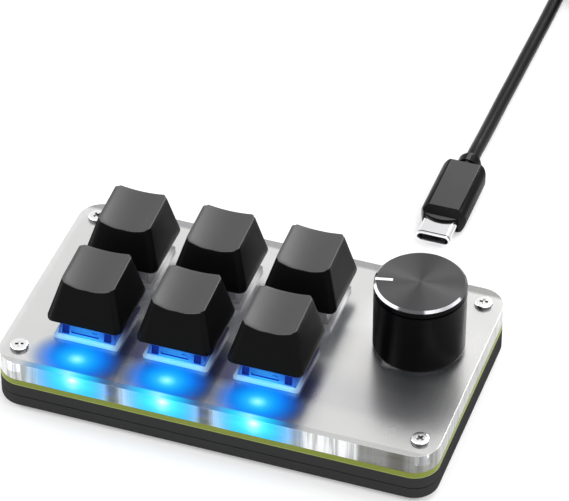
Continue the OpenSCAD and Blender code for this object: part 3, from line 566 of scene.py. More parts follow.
def light_row(tree, y, across):
    """Painted glow tint and painted glow of the plate's top over the light row, and of the rim along its
    front edge.
    """
    ahead = 1.6 * MM
    distance = nearest_light(tree, (0, LIGHT_ROW_Y - ahead, 0), (0.8, 1, 0))
    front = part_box("top_plate")[0][1]
    rim = add_node(tree, "ShaderNodeMapRange", {
        "Value": y, "From Min": front + 1.8 * MM, "From Max": front + 1.4 * MM}).outputs[0]
    tint = fade(tree, distance, [
        (0, "#2080c0"), (3, "#105aa6"), (5.4, "#3a68a0"), (7.4, "#8fa8c4"), (9.4, "#ffffff")])
    glow = fade(tree, distance, [
        (0, "#b0ffff"), (0.9, "#66ecff"), (1.9, "#18b8ff"), (4.2, "#0a84f4"), (6.2, "#124fae"),
        (7.8, "#102a58"), (9.4, "#000000")])
    rim_tint = fade(tree, across, [
        (0, "#101820"), (5, "#182c3c"), (8, "#7894ac"), (10.5, "#b8c8d8"), (12, "#e8ecf0"), (14, "#dcdfe4")])
    rim_glow = fade(tree, across, [
        (0, "#a0f8ff"), (2, "#50e8ff"), (4, "#18d4f8"), (6.5, "#1090e0"), (9, "#143c68"), (12.5, "#000000"),
        (14, "#000000")])
    return [add_node(tree, "ShaderNodeMix", {0: rim, 6: inner, 7: outer}, data_type="RGBA").outputs[2]
            for inner, outer in ((tint, rim_tint), (glow, rim_glow))]


def gap_painted_shade(tree, x, y, across):
    """Painted violet shade of the plate in the gaps between the front switches, right of the first one's
    middle, where the keycaps' dark reflection falls.
    """
    row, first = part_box("switch_base_4")[0][1] / MM, middle("switch_base_4").x
    beside = fade(tree, y, [
        (row - 3, "#a0a0a0"), (row, "#ffffff"), (row + 5, "#ffffff"), (row + 13, "#000000")], "LINEAR")
    right = add_node(tree, "ShaderNodeMapRange", {"Value": x, "From Min": first, "From Max": first + MM})
    share = add_node(tree, "ShaderNodeMath", {0: beside, 1: right.outputs[0]}, operation="MULTIPLY")
    violet_painted_shade = fade(tree, across, [
        (7, "#ffffff"), (7.8, "#646488"), (9.5, "#6c6c90"), (11, "#9090ac"), (13, "#ffffff")])
    return add_node(tree, "ShaderNodeMix", {
        0: share.outputs[0], 6: srgb("#ffffff"), 7: violet_painted_shade}, data_type="RGBA").outputs[2]


def polished_acrylic():
    """Cast acrylic, polished sides: clear, with painted upright light streaks, and the light row shows in its
    front as painted glow.
    """
    upright, streak_width = (1, 1, 0.04), 0.8 * MM
    material = surface("cast_acrylic_polished", srgb("#f7f7f7"), 0.07, patch=3, spread=0.02, grain=0.9,
                       depth=0.02, stretch=upright, IOR=1.49, Transmission_Weight=1.0)
    tree = material.node_tree
    low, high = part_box("top_plate")
    distance = nearest_light(tree, (1 * MM, low[1], high[2] - 1.4 * MM), (1, 0.4, 0.7))
    shade = fade(tree, distance, [
        (0, "#d0ffff"), (1.1, "#8cf6ff"), (2.4, "#14dcff"), (5, "#10ccfc"), (7, "#50bcf4"), (9, "#9ccaec"),
        (11, "#bccadc"), (13, "#d0d0d0")])
    tree.links.new(shade, tree.nodes["Principled BSDF"].inputs["Base Color"])
    # Painted light along the front by X: it dips between the lights, with a painted pale reflection stretch
    # and a painted dark corner on the right
    painted_light_level = fade(tree, object_axes(tree)["X"], [
        (-52.5, "#d8d8d8"), (-44, "#c8c8c8"), (-25.2, "#c8c8c8"), (-23.8, "#545454"), (-22.4, "#606060"),
        (-20.6, "#d8d8d8"), (-3.2, "#c8c8c8"), (-1.8, "#545454"), (-0.2, "#606060"), (1.2, "#d8d8d8"),
        (18.8, "#c8c8c8"), (20.4, "#909090"), (21.8, "#b0b0b0"), (22.6, "#e8e8e8"), (34.4, "#e8e8e8"),
        (35.4, "#727272"), (41.5, "#646464"), (43, "#2c2c2c"), (45.5, "#1b1b1b"), (47, "#6f6f6f"),
        (52.4, "#8a8a8a")], "LINEAR")
    # Painted upright streaks in the glow, evened out near the lights
    point = add_node(tree, "ShaderNodeTexCoord").outputs["Object"]
    flow = add_node(tree, "ShaderNodeMapping", {"Vector": point, "Scale": upright}).outputs["Vector"]
    streaks = add_node(tree, "ShaderNodeTexNoise", {"Vector": flow, "Scale": 1 / streak_width, "Detail": 3.0})
    streak = add_node(tree, "ShaderNodeMapRange", {
        "Value": streaks.outputs["Fac"], "From Min": 0.38, "From Max": 0.55, "To Min": 0.85, "To Max": 1.7})
    even = add_node(tree, "ShaderNodeMapRange", {
        "Value": distance, "From Min": 7 * MM, "From Max": 12 * MM})
    blend = add_node(tree, "ShaderNodeMix", {0: even.outputs[0], 2: 1.53, 3: streak.outputs[0]})
    strength = add_node(tree, "ShaderNodeMath", {0: painted_light_level, 1: blend.outputs[0]}, operation="MULTIPLY")
    shine(tree, shade, strength.outputs[0])
    return material


def lit_underside(colours):
    """Underside of the acrylic against the board: painted glow round each light of the front row, and a dim
    warm painted light elsewhere.
    """
    material = surface("board_mask_lit", srgb("#2c2c2c"), 0.6, patch=7, spread=0.3, grain=0.3)
    tree = material.node_tree
    distance = nearest_light(tree, (0, LIGHT_ROW_Y, 0), (0.9, 1, 0))
    shine(tree, fade(tree, distance, [
        (0, "#d8ffff"), (1.2, colours.light_core[:]), (3, colours.light[:]), (6.5, "#0a48b8"), (9, "#2c4068"),
        (11, "#625c50")]), 1.4)
    return material


def board_laminate(colours):
    """Glass-epoxy laminate, routed edge: olive green with fine cloth layers, paler towards its lower face."""
    material = surface("glass_epoxy_routed", colours.laminate, 0.42, patch=9, spread=0.09, grain=0.25,
                       depth=0.01, stretch=(1, 1, 3))
    tree = material.node_tree
    base = tree.nodes["Principled BSDF"].inputs["Base Color"]
    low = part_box("circuit_board")[0][2]
    lower_band = add_node(tree, "ShaderNodeMapRange", {
        "Value": object_axes(tree)["Z"], "From Min": low + 0.3 * MM, "From Max": low + 0.1 * MM})
    tone = add_node(tree, "ShaderNodeMix", {
        0: lower_band.outputs[0], 6: base.links[0].from_socket, 7: srgb("#9eac5a")}, data_type="RGBA")
    tree.links.new(tone.outputs[2], base)
    return material


def spun_aluminium(colours):
    """Anodised aluminium, spun top: the fine turning marks draw its sheen out into wedges, and it is painted
    lighter than the side as painted light.
    """
    material = surface("anodised_aluminium_spun_painted_light", colours.knob_top, 0.58, patch=2, spread=0.04, depth=0.0005,
                       Metallic=1.0, Anisotropic=0.9, Anisotropic_Rotation=0.25)
    tree = material.node_tree
    marks = add_node(tree, "ShaderNodeTangent", direction_type="RADIAL", axis="Z")
    tree.links.new(marks.outputs[0], tree.nodes["Principled BSDF"].inputs["Tangent"])
    return material


def lit_plastic(part, number):
    """Clear moulded plastic of a switch: its painted tint and painted glow change with the distance from its
    light.
    """
    tints, glow, strength, clear = PLASTICS[part]
    if number <= COLUMNS:
        tints, glow, strength = PALE_SHADE_TINTS, PALE_PAINTED_HIGHLIGHTS, PALE_STRENGTH
    material = surface(f"polycarbonate_{part}_{number}", srgb("#ffffff"), 0.16, patch=2, spread=0.1,
                       grain=0.5, depth=0.02, IOR=1.25, Transmission_Weight=clear, Specular_IOR_Level=0.0)
    tree = material.node_tree
    low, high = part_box(f"switch_base_{number}")
    source = (middle(f"switch_base_{number}").x, low[1], high[2] - 0.5 * MM)
    point = add_node(tree, "ShaderNodeTexCoord").outputs["Object"]
    distance = add_node(tree, "ShaderNodeVectorMath", {0: point, 1: source}, operation="DISTANCE")
    # The tint is painted glow near the light and painted shade away from it; the emission is painted glow
    tint_base(tree, fade(tree, distance.outputs["Value"], tints))
    shine(tree, fade(tree, distance.outputs["Value"], glow), strength)
    return material


def woven_strap():
    """Woven nylon strap: crossed threads 0.35 mm apart."""
    material = surface("nylon_woven", srgb("#17171a"), 0.85, Sheen_Weight=0.3)
    tree = material.node_tree
    thread, relief = 0.35 * MM, 0.05 * MM
    waves = []
    for axis in object_axes(tree)[:2]:
        turn = add_node(tree, "ShaderNodeMath", {0: axis, 1: 2 * math.pi / thread}, operation="MULTIPLY")
        waves.append(add_node(tree, "ShaderNodeMath", {0: turn.outputs[0]}, operation="SINE").outputs[0])
    height = add_node(tree, "ShaderNodeMath", dict(enumerate(waves)), operation="MULTIPLY").outputs[0]
    bump = add_node(tree, "ShaderNodeBump", {"Height": height, "Distance": relief, "Strength": 1.0})
    tree.links.new(bump.outputs[0], tree.nodes["Principled BSDF"].inputs["Normal"])
    return material


# ---- Operators ----

class KEYPAD_OT_camera(bpy.types.Operator):
    """Adds the camera."""

    bl_idname = "keypad.camera"
    bl_label = "Camera"

    def execute(self, context):
        sizes = context.scene.keypad_sizes
        turn, rise = sizes.camera_azimuth, sizes.camera_elevation
        back = Vector((math.sin(turn) * math.cos(rise), -math.cos(turn) * math.cos(rise), math.sin(rise)))
        lens = bpy.data.cameras.new("camera")
        lens.lens = sizes.camera_lens
        lens.sensor_width = 36
        lens.clip_start = 0.01
        camera = bpy.data.objects.new("camera", lens)
        context.scene.collection.objects.link(camera)
        camera.location = Vector(sizes.camera_aim) + sizes.camera_distance * back
        camera.rotation_mode = "QUATERNION"
        camera.rotation_quaternion = (-back).to_track_quat("-Z", "Y")
        context.scene.camera = camera
        return {"FINISHED"}


def coil_points(pitch):
    """Points of the coiled cord: inwards along the bottom layer, then outwards along the top one."""
    radii = [COIL_RADIUS + ((COIL_COLUMNS - 1) / 2 - k) * pitch for k in range(COIL_COLUMNS)]
    high, crossing = COIL_LOW + pitch, 0.25
    # Each turn's radius and height at its start and at its end, and where in the turn the crossing starts
    turns = [(radii[k], radii[k + 1], COIL_LOW, COIL_LOW, 0.75) for k in range(COIL_COLUMNS - 1)]
    turns.append((radii[-1], radii[-1], COIL_LOW, high, 0.75))
    turns += [(radii[k], radii[k - 1], high, high, 0.5) for k in range(COIL_COLUMNS - 1, 0, -1)]
    turns.append((radii[0], radii[0], high, high, 0.5))
    points = []
    for number, (start, end, low, top, change) in enumerate(turns):
        last = number == len(turns) - 1
        for step in range(COIL_STEPS // 2 if last else COIL_STEPS):
            share = step / COIL_STEPS
            ease = min(1, max(0, (share - change) / crossing))
            ease = ease * ease * (3 - 2 * ease)
            radius = start + (end - start) * ease
            angle = math.pi - 2 * math.pi * share
            points.append((COIL_CENTRE[0] + radius * math.cos(angle),
                           COIL_CENTRE[1] + radius * math.sin(angle), low + (top - low) * ease))
    return points


class KEYPAD_OT_lead(bpy.types.Operator):
    """Adds the data lead: cord, oval plug, strap and host plug."""

    bl_idname = "keypad.lead"
    bl_label = "Data lead"

    def execute(self, context):
        sizes, colours = context.scene.keypad_sizes, context.scene.keypad_colours
        jacket = surface("elastomer_jacket_extruded", colours.lead, 0.3, patch=5, spread=0.08, grain=0.3,
                         depth=0.004, Specular_IOR_Level=0.12)
        mould = {"patch": 5, "spread": 0.05, "grain": 0.14, "depth": 0.003}
        grip_finish = surface("elastomer_grip_moulded", colours.lead, 0.28, Specular_IOR_Level=0.06, **mould)
        # The grip's top face is painted lighter as painted light
        grip_top = surface("elastomer_grip_satin_painted_light", colours.lead_top, 0.4, Specular_IOR_Level=0.2, **mould)
        steel = surface("steel_shell_nickel_plated", srgb("#e4e4e6"), 0.16, patch=4, spread=0.03, grain=0.2,
                        depth=0.0006, Metallic=1.0)
        points = ROUTE_IN + coil_points(sizes.cord_diameter) + ROUTE_OUT
        cord = tube("data_cord", points, sizes.cord_diameter, 16)
        hand_over(cord, "data_cord", "base", [jacket], ["cord_run", "cord_coil"])
        plug = [self.nose(steel), self.grip([grip_finish, grip_top], sizes.plug_lip)]
        far = [self.host_nose(steel), self.host_grip(grip_finish)]
        strap = rounded_node("cord_tie", 0.15 * MM)
        hand_over(strap, "coil_strap", "base", [woven_strap()], ["cord_tie"])
        return {"FINISHED"}

    def nose(self, steel):
        """Oval metal nose with a rolled mouth, a fine groove behind it and a deep cavity."""
        low, high = corners("plug_nose")
        wide, tall = (high.x - low.x) / 2, (high.z - low.z) / 2
        sheet, rim, groove = 0.3 * MM, 0.1 * MM, 0.08 * MM
        # Inset, and depth behind the mouth in millimetres
        profile = [
            (sheet, 5.4), (sheet, 0.12), (sheet - 0.3 * rim, 0.03), (0.5 * sheet, 0), (0.3 * rim, 0.03),
            (0, 0.12), (0, 0.6), (groove, 0.66), (groove, 0.9), (0, 0.96), (0, (high.y - low.y) / MM)]
        stations = [(wide - inset, tall - inset, 0, 0, depth * MM) for inset, depth in profile]
        nose = loft(oval_outline(tall / wide, 48), stations)
        lay_down(nose, ((low.x + high.x) / 2, low.y, (low.z + high.z) / 2))
        # The groove faces behind the mouth get a darker steel as painted shade in the groove
        groove_painted_shade = surface("steel_shell_groove_painted_shade", srgb("#48484a"), 0.4, patch=2, spread=0.08, grain=0.15,
                         depth=0.001, Metallic=1.0)
        return hand_over(nose, "oval_plug_nose", "base", [steel, groove_painted_shade], ["plug_nose"],
                         choose=lambda face: int(0.61 * MM < face.center.y - low.y < 0.95 * MM))

    def grip(self, finishes, lip):
        """Moulded grip with a satin top painted lighter as painted light, softened edges and a lip that
        bulges over the nose.
        """
        grip = copy_node("plug_grip")
        low, high = corners("plug_nose")
        half_chord = 0.48 * (high.x - low.x)
        radius = (half_chord ** 2 + lip ** 2) / (2 * lip)
        taller = 1.3 * MM
        height = high.z - low.z + taller
        centre = ((low.x + high.x) / 2, high.y + radius - lip, (low.z + high.z) / 2)
        bulge = rod(centre, radius, height, 160)
        front = block((centre[0], high.y, centre[2]), (2 * half_chord, 2.4 * lip, 2 * height))
        combine(bulge, front, "INTERSECT")
        combine(grip, bulge, "UNION")
        soften(grip, 0.22 * MM, 3, 30)
        return hand_over(grip, "oval_plug_grip", "base", finishes, ["plug_grip"], 18,
                         lambda face: int(face.normal.z > 0.98))

    def host_nose(self, steel):
        """Rectangular metal nose with two square windows in its upper and lower face."""
        nose = copy_node("host_plug_nose")
        place = middle("host_plug_nose")
        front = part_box("host_plug_nose")[0][1]
        window, aside, back, through = 2.2 * MM, 2.9 * MM, 5.6 * MM, 8 * MM
        cutters = [block((place.x + side * aside, front + back, place.z), (window, window, through))
                   for side in (-1, 1)]
        combine(nose, join(cutters))
        soften(nose, 0.08 * MM, 2)
        return hand_over(nose, "host_plug_metal", "base", [steel], ["host_plug_nose"])

    def host_grip(self, finish):
        """Moulded grip of the host plug."""
        grip = rounded_node("host_plug_grip", 0.35 * MM, 3, 40)
        return hand_over(grip, "host_plug_body", "base", [finish], ["host_plug_grip"])


class KEYPAD_OT_body(bpy.types.Operator):
    """Adds the acrylic plate, the two case layers and the screws."""

    bl_idname = "keypad.body"
    bl_label = "Body"

    def execute(self, context):
        sizes, colours = context.scene.keypad_sizes, context.scene.keypad_colours
        self.plate(sizes, colours)
        case = surface("abs_moulded_satin", colours.case, 0.5, patch=9, spread=0.06, grain=0.16, depth=0.005,
                       Specular_IOR_Level=0.0)
        for node in ("case_frame", "bottom_cover"):
            layer = rounded_node(node, sizes.case_edge, 2, 50)
            if node == "case_frame":
                self.seam(layer, sizes)
            hand_over(layer, f"{node}_shell", "base", [case], [node])
        self.screws()
        return {"FINISHED"}

    def seam(self, layer, sizes):
        """Cuts a shadow gap round the lower edge of the upper case layer."""
        low, high = corners("case_frame")
        size = high - low
        centre = ((low.x + high.x) / 2, (low.y + high.y) / 2, low.z)
        beyond, deep, tall = 4 * MM, sizes.seam_depth, 2 * MM
        gap = block(centre, (size.x + beyond, size.y + beyond, 2 * sizes.seam_height))
        inside = block(centre, (size.x - 2 * deep, size.y - 2 * deep, tall))
        round_upright(inside, sizes.plate_corner - deep, 12)
        combine(gap, inside)
        combine(layer, gap)

    def plate(self, sizes, colours):
        """Acrylic plate with its windows, clear at the sides and satin on top."""
        low, high = corners("top_plate")
        plate = block((low + high) / 2, high - low)
        round_upright(plate, sizes.plate_corner, 12)
        through, clearance = 3 * (high.z - low.z), 0.6 * MM
        cutters = [block(middle(f"switch_base_{k}"), (sizes.window, sizes.window, through)) for k in KEYS]
        bracket_low, bracket_high = corners("encoder_bracket")
        well = bracket_high - bracket_low + Vector((clearance, clearance, through))
        cutters.append(block((bracket_low + bracket_high) / 2, well))
        cutters += [rod((x, y, (low.z + high.z) / 2), sizes.screw_hole / 2, through)
                    for x, y in screw_places()]
        combine(plate, join(cutters))
        soften(plate, sizes.plate_edge, 2)

        def choose(face):
            if face.normal.z > 0.7 and face.center.z > high.z - 0.02 * MM:
                return 0
            return 2 if face.normal.z < -0.7 and face.center.z < low.z + 0.02 * MM else 1

        finishes = [satin_acrylic(colours), polished_acrylic(), lit_underside(colours)]
        hand_over(plate, "acrylic_plate", "base", finishes, ["top_plate"], choose=choose)

    def screws(self):
        """Four pan-head screws with a cross recess, each turned its own way."""
        low, high = corners("case_screws")
        plate_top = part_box("top_plate")[1][2]
        radius, edge_round, shank = 2.1 * MM, 0.35 * MM, 1.0 * MM
        recess, taper = (2.7 * MM, 0.7 * MM, 1.3 * MM), (0.45, 0.7, 1)
        screws = []
        for (x, y), turned in zip(screw_places(), (20, -35, 50, 8)):
            screw = rod((x, y, (plate_top + high.z) / 2), radius, high.z - plate_top)
            shape(screw, "EDGE", lambda edge: min(v.co.z for v in edge.verts) > high.z - 0.01 * MM,
                  bpy.ops.mesh.bevel, offset=edge_round, segments=4, affect="EDGES")
            bars = []
            for quarter in (0, 90):
                bar = block((0, 0, 0), recess)
                shape(bar, "FACE", lambda face: face.normal.z < -0.9, bpy.ops.transform.resize, value=taper)
                bar.rotation_euler.z = math.radians(quarter + turned)
                bar.location = (x, y, high.z)
                only(bar)
                bars.append(settle())
            combine(bars[0], bars[1], "UNION")
            combine(screw, bars[0])
            below = rod((x, y, (low.z + plate_top) / 2), shank, plate_top - low.z + 0.2 * MM)
            combine(screw, below, "UNION")
            screws.append(screw)

        def choose(face):
            return int(face.center.z < high.z - 0.02 * MM and face.normal.z < 0.2)

        # Sideways faces below each head's top, the cross recess walls among them, get a darker steel as
        # painted shade
        finishes = [
            surface("steel_nickel_plated", srgb("#ececec"), 0.24, patch=1.5, spread=0.04, grain=0.1,
                    depth=0.0006, Metallic=1.0),
            surface("steel_nickel_painted_shade_sides", srgb("#585859"), 0.35, patch=1.5, spread=0.08, grain=0.15,
                    depth=0.001, Metallic=1.0)]
        hand_over(join(screws), "pan_head_screws", "base", finishes, ["case_screws"], 30,
                  choose)


def screw_places():
    """X and Y of the four case screws."""
    low, high = corners("case_screws")
    head = 1.95 * MM
    return [(x, y) for y in (low.y + head, high.y - head) for x in (low.x + head, high.x - head)]


class KEYPAD_OT_keys(bpy.types.Operator):
    """Adds the keycaps, stems, housings and springs of the six keys."""

    bl_idname = "keypad.keys"
    bl_label = "Keys"

    def execute(self, context):
        sizes, colours = context.scene.keypad_sizes, context.scene.keypad_colours
        fine = {"patch": 7, "spread": 0.05, "grain": 0.1, "depth": 0.0025}
        # The tops are a glossier satin and are painted lighter than the sides as painted light
        finishes = [
            surface("abs_keycap_moulded", colours.keycap, 0.45, Specular_IOR_Level=0.07, **fine),
            surface("abs_keycap_top_satin_painted_light", colours.keycap_top, 0.42, Specular_IOR_Level=0.8, **fine)]
        stem_finish = surface("acetal_moulded", colours.stem, 0.35, grain=0.2)
        wire = surface("spring_wire_drawn", srgb("#c8c8ca"), 0.25, grain=0.1, depth=0.001, Metallic=1.0)
        base, stem = rounded_node("switch_base_1", 0.12 * MM, 1), rounded_node("key_stem_1", 0.1 * MM, 1)
        patterns = [self.keycap(sizes), base, self.cover(), stem, self.spring()]
        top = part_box("keycap_1")[1][2] - 2 * MM
        origin = middle("switch_base_1")
        for number in KEYS:
            place = middle(f"switch_base_{number}")
            copies = [copy_to(pattern, (place - origin) * Vector((1, 1, 0))) for pattern in patterns]
            cap, base, cover, stem, spring = copies
            body = f"key_{number}"
            hand_over(cap, f"dished_keycap_{number}", body, finishes, [f"keycap_{number}"],
                      30, lambda face: int(face.normal.z > 0.5 and face.center.z > top))
            below, above, recess = (lit_plastic(part, number) for part in PLASTICS)
            hand_over(base, f"clear_base_{number}", "base", [below],
                      [f"switch_base_{number}"])
            # The cover's window sides and clip windows take the dark recess finish: painted shade in the
            # recesses
            hand_over(cover, f"clear_cover_{number}", "base", [above, recess],
                      [f"switch_cover_{number}"], choose=self.recess_test(number))
            hand_over(stem, f"sliding_stem_{number}", body, [stem_finish],
                      [f"key_stem_{number}"])
            hand_over(spring, f"coil_spring_{number}", "base", [wire],
                      [f"key_spring_{number}"], 60)
            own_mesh(spring)
        for pattern in patterns:
            bpy.data.objects.remove(pattern)
        return {"FINISHED"}

    def recess_test(self, number):
        """Test for the sides of the windows in a cover's front, and for the whole of its clip windows, which
        take a dark finish as painted shade.
        """
        low = corners(f"switch_cover_{number}")[0]
        x = middle(f"switch_base_{number}").x

        def recess(face):
            place, normal, aside = face.center - low, face.normal, abs(face.center.x - x)
            front = place.y < 0.95 * MM and 0.1 * MM < place.z < 2.7 * MM and aside < 6.2 * MM
            clip = aside > 4 * MM and normal.y < -0.99
            return int(front and (clip or abs(normal.x) > 0.95 or abs(normal.z) > 0.95))

        return recess

    def cover(self):
        """Upper housing of the first switch, with two clip windows and a stepped light window in front."""
        cover = rounded_node("switch_cover_1", 0.12 * MM, 1)
        low, high = corners("switch_cover_1")
        x = (low.x + high.x) / 2
        # Place to the right of the middle, place above the foot, and size, all in millimetres
        windows = [(-5.1, 1.35, (1.7, 0.8, 2.1)), (5.1, 1.35, (1.7, 0.8, 2.1)), (-0.4, 1.1, (6.6, 0.7, 0.8)),
                   (1.9, 1.9, (1.1, 0.7, 0.4))]
        cutters = [block((x + aside * MM, low.y + 0.3 * MM, low.z + up * MM), [part * MM for part in size])
                   for aside, up, size in windows]
        combine(cover, join(cutters))
        return cover

    def keycap(self, sizes):
        """Keycap over the first switch: leaning shell with a dished top and a socket post."""
        low, high = corners("keycap_1")
        centre = (low + high) / 2
        base, top = (high.x - low.x) / 2, sizes.cap_top / 2
        rim = high.z - math.tan(sizes.cap_tilt) * top
        wall, round_by, chip, lip = sizes.cap_wall, sizes.cap_rim, 0.1 * MM, 0.8 * MM
        roof = rim - sizes.cap_dish - 1.4 * MM

        def station(z, inset=0):
            """Station of the leaning outside at a height, set in by that much."""
            share = max(0, (z - low.z - lip) / (rim - low.z - lip))
            half = base + (top - base) * share - inset
            return half, half, centre.x, centre.y + sizes.cap_shift * share, z

        stations = [station(z, wall) for z in (roof, low.z + lip, low.z + chip)]
        stations += [station(low.z, wall - chip), station(low.z, chip), station(low.z + chip)]
        stations += [station(low.z + lip + (rim - round_by - low.z - lip) * k / 7) for k in range(8)]
        shoulder = stations[-1][0]
        for k in range(1, 6):
            turn = math.pi / 2 * k / 5
            half = shoulder - round_by * (1 - math.cos(turn)) * 0.75
            stations.append((half, half, centre.x, centre.y + sizes.cap_shift,
                             rim - round_by * (1 - math.sin(turn))))
        flat = stations[-1][0]
        for k in range(1, 9):
            half = flat * (1 - k / 8.5)
            stations.append((half, half, centre.x, centre.y + sizes.cap_shift, rim))
        outlines = [rounded_outline(corner / half, 96)
                    for corner, half in ((sizes.cap_corner, base), (sizes.cap_top_corner, top))]
        cap = loft(outlines[0], stations)
        self.dish(cap, sizes, outlines, low.z + lip, rim, flat * 0.995)
        post_low, post_top, post_radius = low.z + 0.62 * MM, roof + 0.5 * MM, 2.75 * MM
        post = rod((centre.x, centre.y, (post_low + post_top) / 2), post_radius, post_top - post_low)
        cross, slit, twice_deep = 4.1 * MM, 1.3 * MM, 7.8 * MM
        for wide, deep in ((cross, slit), (slit, cross)):
            combine(post, block((centre.x, centre.y, post_low), (wide, deep, twice_deep)))
        combine(cap, post, "UNION")
        return cap

    def dish(self, cap, sizes, outlines, lowest, rim, reach):
        """Tightens the corners of a keycap's sides towards its rim, tilts its top and dishes it across."""
        low, high = corners("keycap_1")
        centre = (low + high) / 2
        base, top = (high.x - low.x) / 2, sizes.cap_top / 2
        skirt, head = outlines
        slope, wall_slope = math.tan(sizes.cap_tilt), (base - top) / (rim - lowest)
        inner_rows = 5
        for vertex in cap.data.vertices[inner_rows * len(skirt):]:
            place = vertex.co
            share = max(0, (place.z - lowest) / (rim - lowest))
            middle_y = centre.y + sizes.cap_shift * share
            spot = Vector((place.x - centre.x, place.y - middle_y))
            size = max(abs(spot.x), abs(spot.y))
            nearest = min(range(len(skirt)), key=lambda k: (skirt[k] - spot / size).length_squared)
            spot = size * skirt[nearest].lerp(head[nearest], share)
            place.x, place.y = centre.x + spot.x, middle_y + spot.y
            back = (place.y - centre.y - sizes.cap_shift) / top
            dish = sizes.cap_dish + (sizes.cap_dish_front - sizes.cap_dish) * (1 - back) / 2
            dip = dish * max(0, 1 - ((place.x - centre.x) / reach) ** 2)
            rise = share * (slope * top * back - dip)
            place.z += rise
            place.y -= rise * (wall_slope * back - sizes.cap_shift / (rim - lowest))

    def spring(self):
        """Return spring of the first switch."""
        low, high = corners("key_spring_1")
        wire, turns, steps = 0.4 * MM, 6, 12
        radius = (high.x - low.x) / 2 - wire / 2
        centre = (low + high) / 2
        points = []
        for k in range(turns * steps + 1):
            angle = 2 * math.pi * k / steps
            z = low.z + wire / 2 + (high.z - low.z - wire) * k / (turns * steps)
            points.append((centre.x + radius * math.cos(angle), centre.y + radius * math.sin(angle), z))
        coil = tube("coil_spring", points, wire, 6)
        coil.data.resolution_u = 1
        only(coil)
        bpy.ops.object.convert(target="MESH")
        return bpy.context.object


class KEYPAD_OT_knob(bpy.types.Operator):
    """Adds the knurled knob shell."""

    bl_idname = "keypad.knob"
    bl_label = "Knob"

    def execute(self, context):
        sizes, colours = context.scene.keypad_sizes, context.scene.keypad_colours
        low, high = corners("knob_shell")
        centre = (low + high) / 2
        radius = (high.x - low.x) / 2
        skirt, roof, foot = 1.45 * MM, 1.5 * MM, 0.4 * MM
        top = high.z - 0.03 * MM
        groove = high.z - sizes.groove_down
        half, deep = sizes.groove_width / 2, 0.28 * MM
        chamfer = sizes.knob_chamfer
        # Inset and height, from the inside over the foot, the knurl and the groove to the chamfer
        profile = [
            (skirt, high.z - roof), (skirt, low.z + 0.2 * MM), (skirt - 0.2 * MM, low.z), (foot, low.z),
            (0.12 * MM, low.z + 0.12 * MM), (0, low.z + foot), (0, low.z + 0.9 * MM), (0, low.z + 1.0 * MM),
            (0, groove - half - 0.5 * MM), (0, groove - half - 0.4 * MM), (0, groove - half),
            (deep, groove - half + 0.1 * MM), (deep, groove + half - 0.1 * MM), (0, groove + half),
            (0, top - chamfer), (chamfer, top)]
        profile += [(radius - share * (radius - chamfer), top) for share in (0.8, 0.6, 0.4, 0.2, 0.02)]
        stations = [(radius - inset, radius - inset, centre.x, centre.y, z) for inset, z in profile]
        knob = loft(round_outline(2 * sizes.knurls), stations)
        knurl_low, knurl_high = low.z + 0.95 * MM, groove - half - 0.45 * MM
        share = (radius - sizes.knurl_depth) / radius
        tooth = math.pi / sizes.knurls

        def hollow(vertex):
            place = vertex.co - centre
            number = round(math.atan2(place.y, place.x) / tooth)
            outside = math.hypot(place.x, place.y) > radius - 0.1 * MM
            return number % 2 == 1 and outside and knurl_low < vertex.co.z < knurl_high

        shape(knob, "VERT", hollow, bpy.ops.transform.resize, value=(share, share, 1),
              center_override=(centre.x, centre.y, (knurl_low + knurl_high) / 2))

        def choose(face):
            if face.center.z > top - 0.01 * MM:
                return 0
            return 1 if face.center.z > top - 0.9 * chamfer and face.normal.z > 0.3 else 2

        finishes = [
            spun_aluminium(colours),
            # Bright-cut chamfer kept dark grey as painted shade, so its reflection goes dark between the
            # bright arcs
            surface("aluminium_bright_cut_painted_shade", srgb("#646466"), 0.12, patch=2, spread=0.03, grain=0.1,
                    depth=0.0005, Metallic=1.0),
            surface("anodised_aluminium_knurled", colours.knob_side, 0.32, patch=3, spread=0.06, grain=0.1,
                    depth=0.002, Metallic=1.0, Specular_Tint=srgb("#d0d0d0"))]
        hand_over(knob, "knurled_knob", "knob", finishes, ["knob_shell"], 25, choose)
        return {"FINISHED"}


